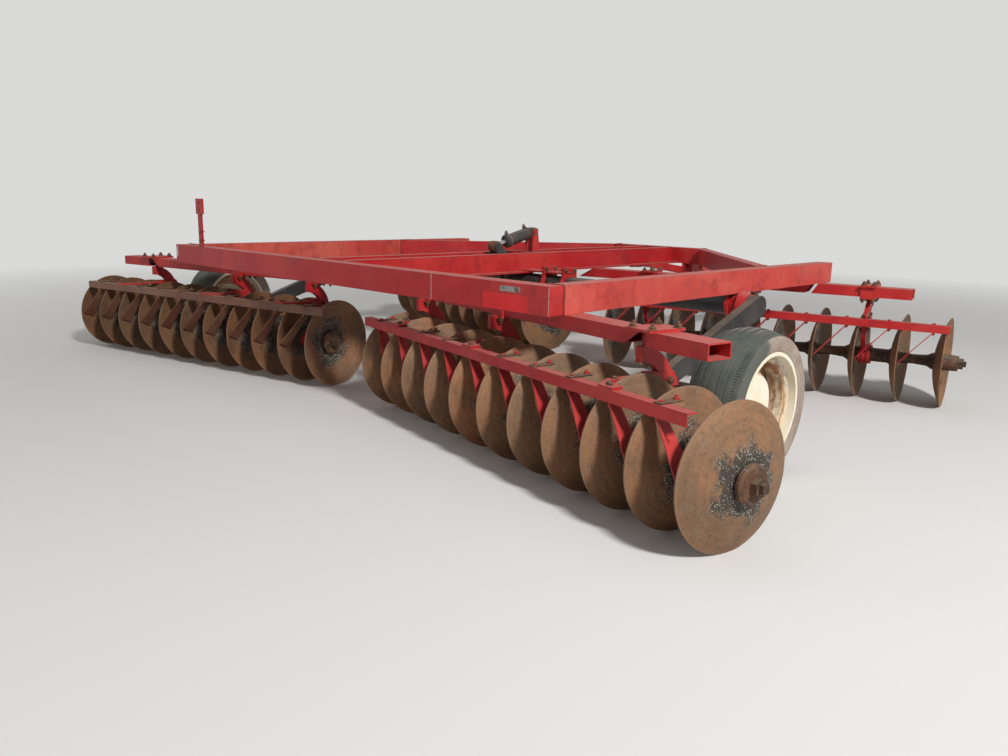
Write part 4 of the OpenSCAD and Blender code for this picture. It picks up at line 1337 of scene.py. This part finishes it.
def cylinderDetails(look):
    rng = random.Random(41)
    anchor = Vector(joints["lift_barrel_tilt"]["pos_m"])
    bore = Vector(joints["lift_rod_stroke"]["axis"]).normalized()
    over = Vector((1, 0, 0)).cross(bore)
    if over.z < 0:
        over = -over
    fittings = bmesh.new()
    for x in look["ports"]:
        at = anchor + bore * x * mm + over * look["portTop"] * mm
        addBolt(fittings, at, over, look["portBolt"], rng)
        stack(fittings, standing(at + over * 0.008, over), look["plug"], 16)
    # ring on the gland
    r = look["glandRadius"]
    ring = [(r - 0.002, -0.004), (r + 0.0015, -0.0035), (r + 0.0015, 0.0035), (r - 0.002, 0.004)]
    turned(fittings, ring, anchor + bore * look["glandAt"] * mm, bore, 48)
    newPiece("cylinderFittings", fittings, "lift_barrel", dullSteel, smooth=30)
    anchors, levers = bmesh.new(), bmesh.new()
    lever = anchor + bore * look["boreLength"]
    for shape, at, end in ((anchors, anchor, look["anchorEnd"]), (levers, lever, look["leverEnd"])):
        for s in (-1, 1):
            axis = Vector((s, 0, 0))
            face = at + axis * (end - 6) * mm
            turned(shape, look["collar"], face - axis * 0.001, axis, 36)
            addCotter(shape, face + axis * 0.0032, axis, Vector((0, 0.6, 0.8)), look["pinRadius"])
    newPiece("anchorPinParts", anchors, "frame", boltIron, smooth=40)
    newPiece("leverPinParts", levers, "rockshaft", boltIron, smooth=40)


cylinderDetails(cylinderLook)
print("cylinder details built")


# Tongue, hitch, levelling rod and jack

tongueLook = {
    "bars": 312,
    "earFace": 49,
    "pinRadius": 0.019,
    "collar": [(0.0193, 0.0003), (0.0193, 0.0035), (0.030, 0.0037), (0.031, 0.0025), (0.031, 0.0003)],
    "plateHigh": 444,
    "plateLow": 420,
    "plateHalf": 49,
    "pinBack": 0.046,       # the pin hole, metres behind the tongue's tip
    "worn": [(0.0173, -0.004), (0.0173, 0.0003), (0.0190, 0.0008), (0.0275, 0.0006), (0.0290, -0.0005)],
    "boxFront": 110,
}


def tongueDetails(look):
    rng = random.Random(51)
    hinge = Vector(joints["tongue_hinge"]["pos_m"])
    pins, ring, seams = bmesh.new(), bmesh.new(), bmesh.new()
    for s in (-1, 1):
        for face in (-1, 1):
            axis = Vector((face, 0, 0))
            at = hinge + Vector(((s * look["bars"] + face * look["earFace"]) * mm, 0, 0))
            turned(pins, look["collar"], at, axis, 40)
            addCotter(pins, at + axis * 0.0075, axis, Vector((0, -0.5, 0.866)), look["pinRadius"])
    newPiece("hingePinParts", pins, "tongue", boltIron, smooth=40)
    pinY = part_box("tongue")[1].y - look["pinBack"]
    high, low = look["plateHigh"] * mm, look["plateLow"] * mm
    for z, face in ((high, 1), (low, -1)):
        turned(ring, look["worn"], (0, pinY, z), (0, 0, face), 48)
    newPiece("hitchWear", ring, "tongue", dullSteel, smooth=40)
    front = pinY - look["boxFront"] * mm
    half = look["plateHalf"] * mm
    for z in (high, low):
        addWeld(seams, [Vector((-half, front, z)), Vector((half, front, z))], 0.006, rng)
    for x in (-half - mm, half + mm):
        addWeld(seams, [Vector((x, front, low)), Vector((x, front, high))], 0.006, rng)
    newPiece("hitchWelds", seams, "tongue", weldIron, smooth=60)


tongueDetails(tongueLook)


rodLook = {"radius": 0.0142, "thread": 0.0012, "turnLength": 0.0042, "from": 0.56, "to": 1.0}


def levellingThread(look):
    # screw thread on the rod's outer stretch, as rings
    start = Vector(joints["levelling_rod_tilt"]["pos_m"])
    low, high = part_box("levelling_rod")
    r, pitch = look["radius"], look["turnLength"]
    run = Vector((0, high.y, low.z + r if low.z < start.z - 0.05 else high.z - r)) - start
    direction = run.normalized()
    begin = run.length * look["from"]
    count = int((run.length * look["to"] - 0.006 - begin) / pitch)
    profile = [(0.0005, 0.0)]
    for i in range(count):
        profile += [(r, i * pitch), (r + look["thread"], i * pitch + pitch * 0.5)]
    profile += [(r, count * pitch), (0.0005, count * pitch + 0.0005)]
    shape = bmesh.new()
    turned(shape, profile, start + direction * begin, direction, 24)
    newPiece("levellingThread", shape, "levelling_rod", castIron, smooth=50)


levellingThread(rodLook)


jackLook = {
    "tubeRadius": 0.032,
    "gripRadius": 0.0132,
    "gripRibs": 9,
    "gripLength": 0.076,
    "gripAt": (0.079, -0.160),      # in from the crank's end, down from the top
    "nutAt": (0.074, -0.040),
    "nutSize": 0.024,
    "capRise": 0.007,
    "footCircle": 0.0268,
    "footUp": 0.0085,
}


def jackDetails(look):
    rng = random.Random(61)
    low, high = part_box("jack_tube")
    legLow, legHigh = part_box("jack_leg")
    x = (legLow.x + legHigh.x) / 2
    y = (legLow.y + legHigh.y) / 2
    cap, grip, crank, foot = bmesh.new(), bmesh.new(), bmesh.new(), bmesh.new()
    r, rise = look["tubeRadius"], look["capRise"]
    outline = [(0.0003, rise), (r - 0.010, rise), (r + 0.0005, rise - 0.003), (r + 0.0018, 0.0),
               (r + 0.0018, -0.014), (r + 0.0003, -0.016), (r + 0.0003, -0.001), (0.0003, 0.0)]
    turned(cap, outline, (x, y, high.z), (0, 0, 1), 40)
    for s in (-1, 1):
        addBolt(cap, Vector((x, y + s * (r + 0.001), high.z - 0.008)), (0, s, 0), 0.010, rng, washer=False)
    newPiece("jackCap", cap, "jack_tube", castIron, smooth=40)
    g, length, ribs = look["gripRadius"], look["gripLength"], look["gripRibs"]
    profile = [(0.0112, 0.0), (g, 0.001)]
    for i in range(ribs):
        z = 0.006 + i * (length - 0.012) / ribs
        profile += [(g, z), (g + 0.0012, z + 0.002), (g + 0.0012, z + 0.004), (g, z + 0.0055)]
    profile += [(g, length - 0.002), (0.0112, length)]
    inward, down = look["gripAt"]
    turned(grip, profile, (low.x + inward, y, high.z + down), (-1, 0, 0), 28)
    newPiece("jackGrip", grip, "jack_tube", blackPaint, smooth=40)
    inward, down = look["nutAt"]
    addBolt(crank, Vector((low.x + inward, y, high.z + down)), (-1, 0, 0), look["nutSize"], rng)
    newPiece("crankNut", crank, "jack_tube", boltIron, smooth=30)
    ring = circle(look["footCircle"], 30)
    addWeld(foot, [Vector((x + a, y + b, look["footUp"])) for a, b in ring + ring[:1]], 0.0045, rng)
    newPiece("jackFootWeld", foot, "jack_leg", boltIron, smooth=60)


jackDetails(jackLook)
print("tongue and jack details built")
